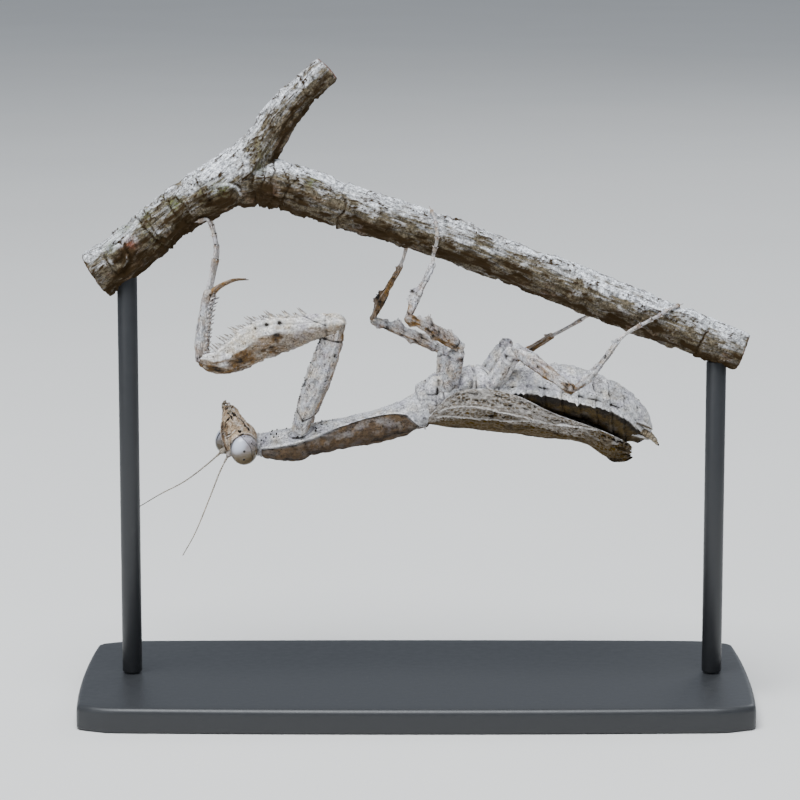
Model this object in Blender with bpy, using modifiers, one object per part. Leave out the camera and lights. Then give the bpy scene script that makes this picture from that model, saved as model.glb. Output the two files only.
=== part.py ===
"""Life-size African twig mantis, an adult female, hanging under a cut forked branch on a display stand.

The mantis hangs upside down: its belly faces up, its back and wings face down, and its head points
to -X.  Its right side faces -Y.  Every number below is in millimetres in the world frame (+Z up, the
floor at Z = 0) unless a comment says otherwise, and MM turns it into metres as the meshes are made.

Body parts are lofts through a few sections.  Where two pieces meet, the second is built into the
first and then cut back by a copy of the first that is GAP larger, so that they fit face to face.
"""

import math

import bmesh
import bpy
import numpy as np
from mathutils import Matrix, Vector

MM = 0.001
GAP = 0.2                       # clearance between neighbouring pieces
WELD = 1e-7                     # metres, for closing the caps of a tube
CAP_ANGLE = math.radians(50)    # where the one ring of a rounded end stands on its quarter circle
SHARP = math.radians(40)

UP = (0.0, 0.0, 1.0)
RIGHT, LEFT = -1.0, 1.0         # sign of Y on each side of the mantis

# Head: the point midway between the eyes, and the directions of the head's own right and crown.
HEAD_PLACE = (-28.75, -1.1, 41.9)
HEAD_RIGHT = Vector((0.517, -0.844, -0.145)).normalized()
HEAD_CROWN = Vector((0.121, 0.239, -0.963))
EYE_PLACE = (2.6, 0.0, 0.0)     # head frame: right, front, crown
EYE_RADII = (1.7, 2.3, 2.45)
EYE_LEAN = 8.0                  # degrees that the top of each eye leans outwards
FEELER_RADIUS = 0.27
SCAPE_RADIUS = 0.42             # thick first joint of a feeler
PALP_RADIUS = 0.27

# Perch: rows of (x, y, z, radius) along each limb of the forked branch.
LIMB_LEFT = (
    (-51.0, 0.5, 69.2, 4.0), (-45.1, 0.5, 73.3, 3.8), (-37.1, 0.5, 79.8, 3.6), (-31.5, 0.5, 83.0, 4.1),
    (-27.0, 0.5, 86.4, 4.0),
)
LIMB_UPPER = (
    (-27.0, 0.5, 86.4, 3.9), (-23.6, 0.6, 91.2, 3.0), (-20.0, 0.8, 96.1, 2.6), (-14.0, 1.4, 101.8, 2.6),
)
LIMB_RIGHT = (
    (-27.5, 0.5, 84.0, 3.9), (-23.6, 0.5, 83.9, 3.8), (-18.4, 0.5, 82.5, 3.7), (-10.5, 0.5, 79.8, 3.5),
    (5.4, 0.5, 74.7, 3.5), (21.3, 0.5, 68.8, 3.4), (37.3, 0.5, 62.4, 3.3), (52.0, 0.5, 56.6, 3.2),
)

# Stand.
BASE_SIZE = (108.0, 46.0, 4.0)
BASE_ROUNDING = 1.0
ROD_RADIUS = 1.6
ROD_PLACES = {"left": -46.0, "right": 48.0}
ROD_Y = 0.5

# Right foreleg, as rows of (x, y, z, half width across the leg, half height on each edge).
FORE_COXA = (
    (-18.5, -2.2, 44.4, 1.1, 1.2), (-17.7, -2.9, 47.4, 1.15, 1.5), (-15.6, -3.5, 53.0, 1.2, 1.9),
    (-13.6, -3.9, 58.6, 1.15, 1.75), (-13.0, -4.2, 61.2, 1.05, 1.5),
)
FORE_FEMUR = (
    (-12.6, -4.4, 61.8, 1.15, 1.75), (-16.5, -4.5, 61.4, 1.3, 2.0), (-21.5, -4.6, 60.3, 1.35, 2.65),
    (-24.6, -4.6, 59.3, 1.35, 2.75), (-28.8, -4.6, 56.9, 1.15, 2.35), (-31.6, -4.6, 55.8, 1.0, 1.8),
    (-33.7, -4.6, 56.2, 0.85, 1.15),
)
FORE_TIBIA = (
    (-34.1, -4.6, 56.2, 0.65, 0.8), (-34.1, -4.6, 59.0, 0.65, 0.9), (-33.5, -4.5, 64.2, 0.6, 0.75),
    (-32.8, -4.4, 66.9, 0.6, 0.75),
)
FORE_CLAW = (
    (-33.0, -4.4, 66.4, 0.6), (-31.6, -4.4, 67.8, 0.48), (-30.4, -4.4, 68.5, 0.38),
    (-28.8, -4.4, 69.1, 0.28), (-26.9, -4.4, 69.2, 0.12),
)
FORE_FOOT = ((-33.0, -4.3, 67.0), (-32.2, -3.8, 70.7), (-31.7, -3.3, 74.4))
FORE_SPINES = 11
SPINE_RADIUS = 0.28
SPINE_LEAN = 0.5                # sideways reach of a spine as a part of its length
SPINE_ROOT_DEPTH = 1.5          # how deep a spine is rooted, in its own radii
LOBE_LEAN = 0.2                 # the same lean for the lobes of the walking legs
FEMUR_SPINE_SPAN = (0.22, 0.86)     # part of the femur's length that carries spines
TIBIA_SPINE_SPAN = (0.14, 0.92)
LEFT_FORELEG_SHIFT = (0.0, 0.0, -1.4)
FORE_FOOTHOLDS = ((-34.6, 30.0), (-35.8, 44.0))     # as in the walking legs' feet
SPINE_LENGTHS = (0.7, 1.25)         # the femur's spines are short and long in turn
TIBIA_SPINE_LENGTHS = (0.45, 1.0)   # the tibia's grow from the knee towards the claw

# Walking legs, as paths from the body outwards.  A foot has free points (x, y, z) and then places on
# the branch (x, degrees round the bark from below, positive towards -Y).
WALKING_LEGS = {
    "midleg_right": {
        "coxa": ((5.2, -1.8, 51.0), (6.4, -3.8, 57.3)),
        "femur": ((7.0, -3.9, 58.1), (5.2, -5.2, 59.6), (1.2, -8.2, 62.4), (-1.2, -10.0, 63.7)),
        "tibia": ((-1.2, -10.0, 63.9), (-0.2, -8.4, 66.4), (2.6, -4.8, 71.4)),
        "foot": ((2.6, -4.7, 71.3), (3.6, 46), (3.3, 88), (2.4, 124), (1.3, 156)),
    },
    "midleg_left": {
        "coxa": ((4.6, 1.8, 50.8), (4.8, 3.7, 56.0)),
        "femur": ((4.5, 3.9, 56.3), (0.2, 5.2, 58.3), (-5.3, 7.4, 60.2), (-6.8, 8.0, 60.6)),
        "tibia": ((-6.9, 8.0, 61.0), (-5.9, 7.2, 63.4), (-2.6, 5.0, 69.7)),
        "foot": (
            (-2.6, 5.0, 69.7), (-1.9, 3.9, 71.7), (-0.6, -42), (-1.4, -80), (-2.4, -115), (-3.3, -138),
        ),
    },
    "hindleg_right": {
        "coxa": ((12.2, -1.9, 51.4), (15.3, -3.9, 57.3)),
        "femur": ((15.7, -3.9, 57.8), (18.2, -6.6, 56.5), (21.4, -10.0, 54.6), (24.2, -13.0, 53.0)),
        "tibia": ((24.3, -13.0, 53.0), (25.9, -11.6, 53.6), (28.8, -8.2, 56.0), (31.8, -4.9, 59.3)),
        "foot": ((31.8, -4.9, 59.3), (33.4, -4.1, 60.5), (36.0, 66), (37.9, 104), (39.1, 130), (40.4, 158)),
    },
    "hindleg_left": {
        "coxa": ((10.4, 1.9, 51.6), (14.6, 3.9, 57.2)),
        "femur": ((14.7, 4.0, 57.3), (14.3, 7.4, 56.2), (13.6, 15.0, 51.6)),
        "tibia": ((13.7, 15.0, 51.6), (18.8, 8.5, 56.0), (21.8, 5.4, 58.5)),
        "foot": ((21.8, 5.4, 58.5), (24.6, 3.7, 60.3), (28.8, -14), (30.5, -50), (32.0, -90), (32.8, -125)),
    },
}
# Shared profiles of the walking legs: rows of (fraction of the length, half width, half height).
PROFILES = {
    "coxa": ((0.0, 1.5, 1.75), (0.55, 1.45, 1.7), (1.0, 1.25, 1.45)),
    "femur": ((0.0, 1.0, 1.2), (0.35, 0.9, 1.15), (0.75, 0.75, 0.9), (1.0, 0.7, 0.85)),
    "tibia": ((0.0, 0.5, 0.55), (0.3, 0.55, 0.8), (0.6, 0.45, 0.55), (1.0, 0.4, 0.45)),
}
# Leafy lobes and spurs on their rise edges: rows of (fraction of the length, height, half width).
LOBES = {
    "midleg_femur": ((0.28, 0.6, 0.35), (0.68, 1.2, 0.6), (0.84, 0.6, 0.4)),
    "midleg_tibia": ((0.3, 0.7, 0.6), (0.42, 0.9, 0.6)),
    "hindleg_tibia": ((0.96, 1.1, 0.25),),
}
TARSUS_RADIUS = 0.36
TARSUS_JOINTS = 5
TARSUS_SWELLING = 0.12          # part of the radius
TARSUS_CLAW_FROM = 0.9          # part of the length at which the claw begins
TARSUS_CLAW_SCALE = 0.75
FOOT_LIFT = 0.25                # clearance of a foot's middle line beyond its radius

# Wings: rows of (x, depth of the fold, half width, height of the front edge), from root to tip.
WING_ROWS = (
    (3.2, 45.0, 3.3, 47.9), (5.0, 44.7, 4.2, 50.2), (7.6, 44.5, 4.7, 51.5), (12.0, 44.0, 5.0, 51.6),
    (16.5, 43.6, 5.1, 50.4), (21.5, 42.9, 4.9, 47.9), (27.0, 42.1, 4.4, 45.8), (30.4, 39.9, 3.7, 44.4),
    (32.8, 39.2, 2.5, 43.2), (34.2, 40.0, 1.3, 41.9),
)
WING_THICKNESS = 0.5
WING_LAP = 0.7                  # how far each wing reaches past the middle line,
WING_LAP_LIMIT = 0.3            # at most this part of its width,
WING_LAP_LIFT = 0.05            # and how far its lapping edge stands off the fold
UNDER_WING_RISE = 0.75          # the left wing lies inside the right one by this much,
UNDER_WING_NARROWING = 0.4      # and is narrower and lower in front by these parts of it
UNDER_WING_LOWERING = 0.5
CERCUS_RADII = (0.55, 0.25)     # root and tip of each short tail feeler

PALETTE = {                     # name: (hex colour, roughness)
    "pale_cuticle": ("b9b0a6", 0.7),
    "brown_cuticle": ("8f7a62", 0.7),
    "eye": ("8b8791", 0.25),
    "feeler": ("b6a584", 0.6),
    "wing": ("8c7f70", 0.65),
    "bark": ("9a9289", 0.9),
    "stand": ("2b2c2e", 0.5),
}


# ---------------------------------------------------------------------------------- scene and looks

def clear_scene():
    for item in list(bpy.data.objects):
        bpy.data.objects.remove(item, do_unlink=True)


def new_collection(name):
    collection = bpy.data.collections.new(name)
    bpy.context.scene.collection.children.link(collection)
    return collection


def linear(channel):
    """sRGB channel of 0 to 1 as a linear value."""
    return channel / 12.92 if channel <= 0.04045 else ((channel + 0.055) / 1.055) ** 2.4


def make_material(name):
    code, roughness = PALETTE[name]
    material = bpy.data.materials.new(name)
    material.use_nodes = True
    shader = material.node_tree.nodes["Principled BSDF"]
    colour = [linear(int(code[at:at + 2], 16) / 255) for at in (0, 2, 4)]
    shader.inputs["Base Color"].default_value = (*colour, 1.0)
    shader.inputs["Roughness"].default_value = roughness
    shader.inputs["Metallic"].default_value = 0.0
    return material


# ------------------------------------------------------------------------------------ shape helpers

def unit(vectors):
    return vectors / np.linalg.norm(vectors, axis=-1, keepdims=True)


def smooth_rows(rows, steps):
    """Catmull-Rom curve through rows of numbers, with `steps` samples from each row to the next."""
    rows = np.asarray(rows, dtype=float)
    padded = np.vstack((2 * rows[0] - rows[1], rows, 2 * rows[-1] - rows[-2]))
    t = np.arange(steps)[:, None] / steps
    spans = []
    for a, b, c, d in zip(padded, padded[1:], padded[2:], padded[3:]):
        spans.append(b + 0.5 * t * (c - a + t * (2 * a - 5 * b + 4 * c - d + t * (3 * (b - c) + d - a))))
    return np.vstack(spans + [rows[-1:]])


def length_parts(points):
    """Part of the path's whole length that has been travelled at each point."""
    steps = np.linalg.norm(np.diff(points, axis=0), axis=1)
    return np.concatenate(((0.0,), np.cumsum(steps))) / steps.sum()


def frames(centres, toward):
    """Tangents of a path, and the directions across it and nearest to `toward`."""
    tangents = unit(np.gradient(centres, axis=0))
    across = unit(np.cross(np.asarray(toward, dtype=float), tangents))
    return tangents, across, np.cross(tangents, across)


def place_mesh(name, points, faces, material, collection, origin=None):
    """Object from points in mm, with its own origin at `origin`, faces turned outwards."""
    origin = Vector(points[0] if origin is None else origin)
    mesh = bpy.data.meshes.new(name)
    mesh.from_pydata([(Vector(point) - origin) * MM for point in points], [], faces)
    shell = bmesh.new()
    shell.from_mesh(mesh)
    bmesh.ops.recalc_face_normals(shell, faces=shell.faces)
    shell.to_mesh(mesh)
    shell.free()
    return place_object(name, mesh, material, collection, origin)


def place_object(name, mesh, material, collection, origin):
    mesh.shade_smooth()
    mesh.set_sharp_from_angle(angle=SHARP)
    mesh.materials.append(material)
    item = bpy.data.objects.new(name, mesh)
    item.location = Vector(origin) * MM
    collection.objects.link(item)
    return item


def loft(name, rows, toward, material, collection, sides=12, steps=3, ends=(0.5, 0.5), power=2.0,
         grow=0.0):
    """Closed solid through rows of (x, y, z, half width, rise, drop), with rounded ends.

    Every ring stands square to the path.  Rise is measured along `toward` and drop away from it.  The
    outline is a superellipse: a power of 2 is an ellipse, less is leaner and more is boxier.  `ends`
    are the lengths of the two rounded ends, and `grow` swells the solid for use as a cutter.
    """
    samples = smooth_rows(rows, steps)
    centres, sizes = samples[:, :3], samples[:, 3:] + grow
    tangents, across, rise = frames(centres, toward)
    angles = np.arange(sides) * 2 * math.pi / sides
    cosine, sine = np.cos(angles), np.sin(angles)
    sideways = np.sign(cosine) * np.abs(cosine) ** (2 / power)
    upward = np.sign(sine) * np.abs(sine) ** (2 / power)

    reach, scale = math.sin(CAP_ANGLE), math.cos(CAP_ANGLE)
    stations = [(0, -reach * (ends[0] + grow), scale)]
    stations += [(index, 0.0, 1.0) for index in range(len(centres))]
    stations.append((len(centres) - 1, reach * (ends[1] + grow), scale))

    points = []
    for index, reach, scale in stations:
        width, high, low = sizes[index] * scale
        centre = centres[index] + tangents[index] * reach
        heights = np.where(upward > 0, high, low) * upward
        points.extend(centre + np.outer(sideways * width, across[index]) + np.outer(heights, rise[index]))
    first_pole, last_pole = len(points), len(points) + 1
    points.append(centres[0] - tangents[0] * (ends[0] + grow))
    points.append(centres[-1] + tangents[-1] * (ends[1] + grow))

    faces = []
    for side in range(sides):
        after = (side + 1) % sides
        for ring in range(0, (len(stations) - 1) * sides, sides):
            faces.append((ring + side, ring + after, ring + sides + after, ring + sides + side))
        last_ring = (len(stations) - 1) * sides
        faces.append((first_pole, after, side))
        faces.append((last_pole, last_ring + side, last_ring + after))
    return place_mesh(name, points, faces, material, collection, origin=centres[0])


def tube(name, points, radii, material, collection, resolution=1, grow=0.0):
    """Round tube along points, with a radius at each point and filled caps."""
    curve = bpy.data.curves.new(name, "CURVE")
    curve.dimensions = "3D"
    curve.bevel_depth = MM
    curve.bevel_resolution = resolution
    curve.use_fill_caps = True
    spline = curve.splines.new("POLY")
    spline.points.add(len(points) - 1)
    origin = Vector(points[0])
    for knot, point, radius in zip(spline.points, points, radii):
        knot.co = (*((Vector(point) - origin) * MM), 1.0)
        knot.radius = radius + grow
    source = bpy.data.objects.new(name, curve)
    collection.objects.link(source)
    bpy.context.view_layer.update()
    mesh = bpy.data.meshes.new_from_object(source.evaluated_get(bpy.context.evaluated_depsgraph_get()))
    bpy.data.objects.remove(source)
    bpy.data.curves.remove(curve)
    shell = bmesh.new()
    shell.from_mesh(mesh)
    bmesh.ops.remove_doubles(shell, verts=shell.verts, dist=WELD)
    shell.to_mesh(mesh)
    shell.free()
    mesh.name = name
    mesh.materials.clear()
    return place_object(name, mesh, material, collection, origin)


def spikes(name, spike_rows, material, collection, sides=3):
    """One mesh of separate cones, each from its root to its tip: rows of (root, tip, radius)."""
    origin = Vector(spike_rows[0][0])
    shell = bmesh.new()
    for root, tip, radius in spike_rows:
        root, tip = Vector(root), Vector(tip)
        turn = (tip - root).to_track_quat("Z", "Y").to_matrix().to_4x4()
        place = Matrix.Translation(((root + tip) / 2 - origin) * MM) @ turn
        bmesh.ops.create_cone(shell, cap_ends=True, segments=sides, radius1=radius * MM, radius2=0.0,
                              depth=(tip - root).length * MM, matrix=place)
    mesh = bpy.data.meshes.new(name)
    shell.to_mesh(mesh)
    shell.free()
    return place_object(name, mesh, material, collection, origin)


def ellipsoid(name, centre, radii, lean, material, collection, segments=12, rings=8, grow=0.0):
    """Ellipsoid turned by `lean` degrees about its own Y axis."""
    shell = bmesh.new()
    bmesh.ops.create_uvsphere(shell, u_segments=segments, v_segments=rings, radius=1.0)
    bmesh.ops.scale(shell, vec=[(radius + grow) * MM for radius in radii], verts=shell.verts)
    mesh = bpy.data.meshes.new(name)
    shell.to_mesh(mesh)
    shell.free()
    item = place_object(name, mesh, material, collection, centre)
    item.rotation_euler = (0.0, math.radians(lean), 0.0)
    return item


class Workshop:
    """The collections and materials that every piece shares."""

    def __init__(self):
        self.pieces = new_collection("twig_mantis")
        self.guides = new_collection("guides")
        self.materials = {name: make_material(name) for name in PALETTE}

    def hide(self, guide):
        guide.hide_render = True
        guide.display_type = "WIRE"

    def boolean(self, piece, guide, operation):
        """Join or cut by the guide: by EXACT, and at later cuts, where that can fail, by MANIFOLD."""
        solver = "MANIFOLD" if piece.modifiers else "EXACT"
        modifier = piece.modifiers.new(guide.name, "BOOLEAN")
        modifier.solver = solver
        modifier.operation = operation
        modifier.object = guide
        self.hide(guide)

    def build(self, maker, name, *details, material, cut_by=(), **options):
        """Make a piece, cut it back by grown copies of its neighbours, and return its recipe.

        The recipe is a function that makes a grown copy, for the pieces that meet this one.
        """
        piece = maker(name, *details, self.materials[material], self.pieces, **options)

        def grown_copy(label):
            return maker(label, *details, self.materials[material], self.guides, grow=GAP, **options)

        for number, neighbour in enumerate(cut_by):
            self.boolean(piece, neighbour(f"{name}_clearance_{number}"), "DIFFERENCE")
        return piece, grown_copy


# ------------------------------------------------------------------------------------ perch and stand

def limb_rows(limb):
    return [(x, y, z, radius, radius, radius) for x, y, z, radius in limb]


def build_perch(shop):
    """Three limbs of the forked branch, the left one running on into the fork."""
    options = {"material": "bark", "sides": 12}
    _, left = shop.build(loft, "perch_left", limb_rows(LIMB_LEFT), UP, steps=2, ends=(0.5, 1.5), **options)
    _, right = shop.build(loft, "perch_right", limb_rows(LIMB_RIGHT), UP, steps=1, ends=(0.5, 0.5),
                          cut_by=(left,), **options)
    _, upper = shop.build(loft, "perch_upper", limb_rows(LIMB_UPPER), (-1.0, 0.0, 0.5), steps=2,
                          ends=(0.5, 0.5), cut_by=(left, right), **options)
    return {"left": left, "right": right, "upper": upper}


def build_stand(shop, limbs):
    """Flat base and two rods, each hollowed at the top where the branch lies in it."""
    height = BASE_SIZE[2]
    shell = bmesh.new()
    bmesh.ops.create_cube(shell, size=1.0)
    bmesh.ops.scale(shell, vec=[size * MM for size in BASE_SIZE], verts=shell.verts)
    mesh = bpy.data.meshes.new("stand_base")
    shell.to_mesh(mesh)
    shell.free()
    base = place_object("stand_base", mesh, shop.materials["stand"], shop.pieces, (0, 0, height / 2))
    rounding = base.modifiers.new("rounding", "BEVEL")
    rounding.width = BASE_ROUNDING * MM
    rounding.segments = 1
    for side, place in ROD_PLACES.items():
        limb = LIMB_LEFT if side == "left" else LIMB_RIGHT
        top = branch_row(limb, place)[2]
        points = ((place, ROD_Y, height + GAP), (place, ROD_Y, top))
        shop.build(tube, f"stand_rod_{side}", points, (ROD_RADIUS, ROD_RADIUS), material="stand",
                   cut_by=(limbs[side],), resolution=4)


def branch_row(limb, x):
    """Centre and radius of a limb at a place along X."""
    rows = smooth_rows(limb, 8)
    return np.array([np.interp(x, rows[:, 0], rows[:, column]) for column in range(4)])


def on_branch(limb, x, angle, lift):
    """Point `lift` above the bark at x, with the angle in degrees from below, positive towards -Y."""
    before, here, after = (branch_row(limb, x + step) for step in (-1.0, 0.0, 1.0))
    _, across, rise = frames(np.array((before[:3], here[:3], after[:3])), UP)
    turn = math.radians(angle)
    return here[:3] - (here[3] + lift) * (math.cos(turn) * rise[1] + math.sin(turn) * across[1])


# ------------------------------------------------------------------------------------------- the body

def mirrored(rows, shift=(0.0, 0.0, 0.0)):
    return [(row[0] + shift[0], shift[1] - row[1], row[2] + shift[2], *row[3:]) for row in rows]


def both_edges(rows):
    """Rows with one half height as rows with a rise and an equal drop."""
    return [(*row[:4], row[4], row[4]) for row in rows]


def build_trunk(shop):
    """Neck, prothorax, pterothorax and abdomen: x, y, z of the side margin, half width, rise, drop."""
    prothorax = (
        (-24.6, 0.0, 41.5, 1.8, 2.0, 2.1), (-22.6, 0.0, 41.8, 2.2, 2.2, 2.6),
        (-20.0, 0.0, 42.4, 2.7, 1.9, 3.2), (-17.8, 0.0, 43.0, 2.9, 1.9, 3.2),
        (-15.0, 0.0, 44.0, 2.4, 1.5, 3.4), (-11.0, 0.0, 45.3, 2.1, 0.9, 3.9),
        (-6.4, 0.0, 46.4, 2.05, 0.9, 4.1),
        (-3.0, 0.0, 46.9, 2.2, 1.8, 3.9), (1.8, 0.0, 46.6, 2.8, 4.9, 2.2),
    )
    pterothorax = (
        (1.8, 0.0, 47.4, 2.6, 4.4, 1.4), (5.0, 0.0, 48.2, 3.0, 5.2, 2.0), (9.5, 0.0, 48.7, 3.4, 5.6, 2.8),
        (12.6, 0.0, 48.8, 3.5, 4.8, 3.1), (14.5, 0.0, 49.4, 3.4, 4.2, 3.5),
    )
    abdomen = (
        (13.4, 0.0, 50.6, 3.5, 3.5, 4.4), (17.0, 0.0, 51.3, 4.0, 3.5, 4.6),
        (21.8, 0.0, 50.7, 4.7, 4.1, 4.0), (26.0, 0.0, 49.6, 4.8, 4.4, 3.9),
        (30.0, 0.0, 48.7, 4.4, 3.7, 4.2), (33.4, 0.0, 47.1, 3.5, 2.9, 5.1),
        (35.4, 0.0, 45.2, 2.5, 2.3, 4.0), (36.6, 0.0, 44.1, 1.5, 1.5, 2.5),
    )
    neck = (
        (-27.0, 0.3, 42.4, 1.2, 1.4, 1.4), (-25.8, 0.2, 41.9, 1.4, 1.8, 1.8),
        (-24.2, 0.0, 41.4, 1.7, 1.9, 2.0),
    )
    _, front = shop.build(loft, "prothorax", prothorax, UP, material="pale_cuticle", sides=12, steps=2,
                          ends=(0.5, 0.8), power=2.0)
    _, middle = shop.build(loft, "pterothorax", pterothorax, UP, material="pale_cuticle", sides=12,
                           cut_by=(front,), steps=2, ends=(0.5, 0.6), power=2.2)
    _, rear = shop.build(loft, "abdomen", abdomen, UP, material="pale_cuticle", sides=12, steps=2,
                         cut_by=(middle,), ends=(0.5, 0.9), power=1.8)
    _, neck_copy = shop.build(loft, "neck", neck, UP, material="pale_cuticle", sides=8, cut_by=(front,),
                              steps=2, ends=(0.3, 0.3))
    for side, sign in (("right", RIGHT), ("left", LEFT)):
        knots = ((35.2, sign * 1.0, 44.6), (37.2, sign * 1.5, 43.6), (38.6, sign * 1.9, 42.2))
        points = smooth_rows(knots, 2)
        radii = np.linspace(*CERCUS_RADII, len(points))
        shop.build(tube, f"cercus_{side}", points, radii, material="brown_cuticle", cut_by=(rear,))
    return {"front": front, "middle": middle, "rear": rear, "neck": neck_copy}


def build_wing(shop, side, sign):
    """Forewing folded along the back: a quarter ellipse from the fold up to the front edge."""
    rise = 0.0 if side == "right" else UNDER_WING_RISE
    rows = smooth_rows(WING_ROWS, 2)
    turns = np.radians((0, 22.5, 45, 67.5, 90))
    points = []
    for x, fold, width, edge in rows:
        fold, width = fold + rise, width - rise * UNDER_WING_NARROWING
        height = edge - fold - rise * UNDER_WING_LOWERING
        lap = min(WING_LAP, width * WING_LAP_LIMIT)
        points.append((x, -sign * lap, fold + WING_LAP_LIFT))
        for turn in turns:
            points.append((x, sign * width * math.sin(turn), fold + height * (1 - math.cos(turn))))
    across = len(turns) + 1
    faces = []
    for start in range(0, (len(rows) - 1) * across, across):
        for step in range(across - 1):
            corner = start + step
            faces.append((corner, corner + 1, corner + across + 1, corner + across))
    wing = place_mesh(f"forewing_{side}", points, faces, shop.materials["wing"], shop.pieces)
    thickness = wing.modifiers.new("thickness", "SOLIDIFY")
    thickness.thickness = WING_THICKNESS * MM
    thickness.offset = 0.0
    return wing


# ------------------------------------------------------------------------------------------- the head

def head_frame(shop):
    """Empty that carries the head: its X is the head's right, Y its front and Z its crown."""
    crown = (HEAD_CROWN - HEAD_CROWN.dot(HEAD_RIGHT) * HEAD_RIGHT).normalized()
    front = crown.cross(HEAD_RIGHT)
    empty = bpy.data.objects.new("head_frame", None)
    empty.matrix_world = Matrix.Translation(Vector(HEAD_PLACE) * MM) @ Matrix(
        (HEAD_RIGHT, front, crown)).transposed().to_4x4()
    shop.guides.objects.link(empty)
    return empty


def build_head(shop, neck):
    """Head, eyes and mouthparts in the head's own frame, and feelers in the world frame."""
    frame = head_frame(shop)
    # From the crown down to the mouth: x, y (front), z (crown), half width, front, back.
    rows = (
        (0.0, -0.4, 2.3, 1.9, 0.9, 2.1), (0.0, -0.5, 1.4, 2.4, 1.5, 2.8), (0.0, -0.5, 0.0, 2.6, 1.8, 3.1),
        (0.0, -0.5, -1.6, 2.7, 1.8, 3.2), (0.0, -0.4, -3.2, 2.4, 1.65, 2.7),
        (0.0, -0.2, -4.8, 1.8, 1.35, 2.0),
        (0.0, -0.1, -6.0, 1.3, 1.1, 1.5), (0.0, 0.0, -6.9, 0.8, 0.75, 1.0),
    )
    head, head_copy = shop.build(loft, "head", rows, (0.0, 1.0, 0.0), material="pale_cuticle", sides=12,
                                 steps=2, ends=(0.4, 0.4), power=2.3)
    head.parent = frame
    for side, sign in (("right", 1.0), ("left", -1.0)):
        place = (sign * EYE_PLACE[0], EYE_PLACE[1], EYE_PLACE[2])
        eye, eye_copy = shop.build(ellipsoid, f"eye_{side}", place, EYE_RADII, sign * EYE_LEAN,
                                   material="eye")
        eye.parent = frame
        socket = eye_copy(f"eye_socket_{side}")
        socket.parent = frame
        shop.boolean(head, socket, "DIFFERENCE")
    collar = neck("neck_clearance")
    shop.boolean(head, collar, "DIFFERENCE")

    for side, sign in (("right", 1.0), ("left", -1.0)):
        knots = (
            (sign * 0.7, 0.3, -5.6), (sign * 1.15, 0.7, -6.4),
            (sign * 0.95, 0.6, -7.3), (sign * 0.5, 0.4, -7.8),
        )
        points = smooth_rows(knots, 2)
        radii = np.full(len(points), PALP_RADIUS)
        piece, _ = shop.build(tube, f"palp_{side}", points, radii, material="feeler")
        piece.parent = frame
        clearance = head_copy(f"palp_clearance_{side}")
        clearance.parent = frame
        shop.boolean(piece, clearance, "DIFFERENCE")

    feelers = {
        "right": ((-29.3, -2.3, 41.4), (-30.15, -2.7, 40.2), (-31.4, -3.0, 37.7), (-33.1, -3.6, 33.4),
                  (-35.2, -4.6, 28.4), (-37.2, -6.0, 24.9)),
        "left": ((-30.2, -1.0, 41.5), (-31.3, -0.9, 40.6), (-33.9, 0.6, 38.1), (-37.4, 2.4, 35.2),
                 (-41.4, 4.0, 32.8), (-44.9, 5.2, 30.5)),
    }
    for side, knots in feelers.items():
        points = smooth_rows(knots, 2)
        radii = np.full(len(points), FEELER_RADIUS)
        radii[:2] = SCAPE_RADIUS
        piece, _ = shop.build(tube, f"antenna_{side}", points, radii, material="feeler")
        clearance = head_copy(f"antenna_clearance_{side}")
        clearance.parent = frame
        shop.boolean(piece, clearance, "DIFFERENCE")
    return head_copy


# ------------------------------------------------------------------------------------------- the legs

def edge_spikes(rows, toward, parts, lengths, radii, lean):
    """Spines along the rise edge of a limb, at parts of its length, leaning along it."""
    samples = smooth_rows(rows, 12)
    centres = samples[:, :3]
    tangents, _, rise = frames(centres, toward)
    travelled = length_parts(centres)
    result = []
    for part, length, radius in zip(parts, lengths, radii):
        at = np.searchsorted(travelled, part)
        edge = centres[at] + rise[at] * (samples[at, 4] - radius * SPINE_ROOT_DEPTH)
        tip = centres[at] + rise[at] * (samples[at, 4] + length) + tangents[at] * length * lean
        result.append((edge, tip, radius))
    return result


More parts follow.
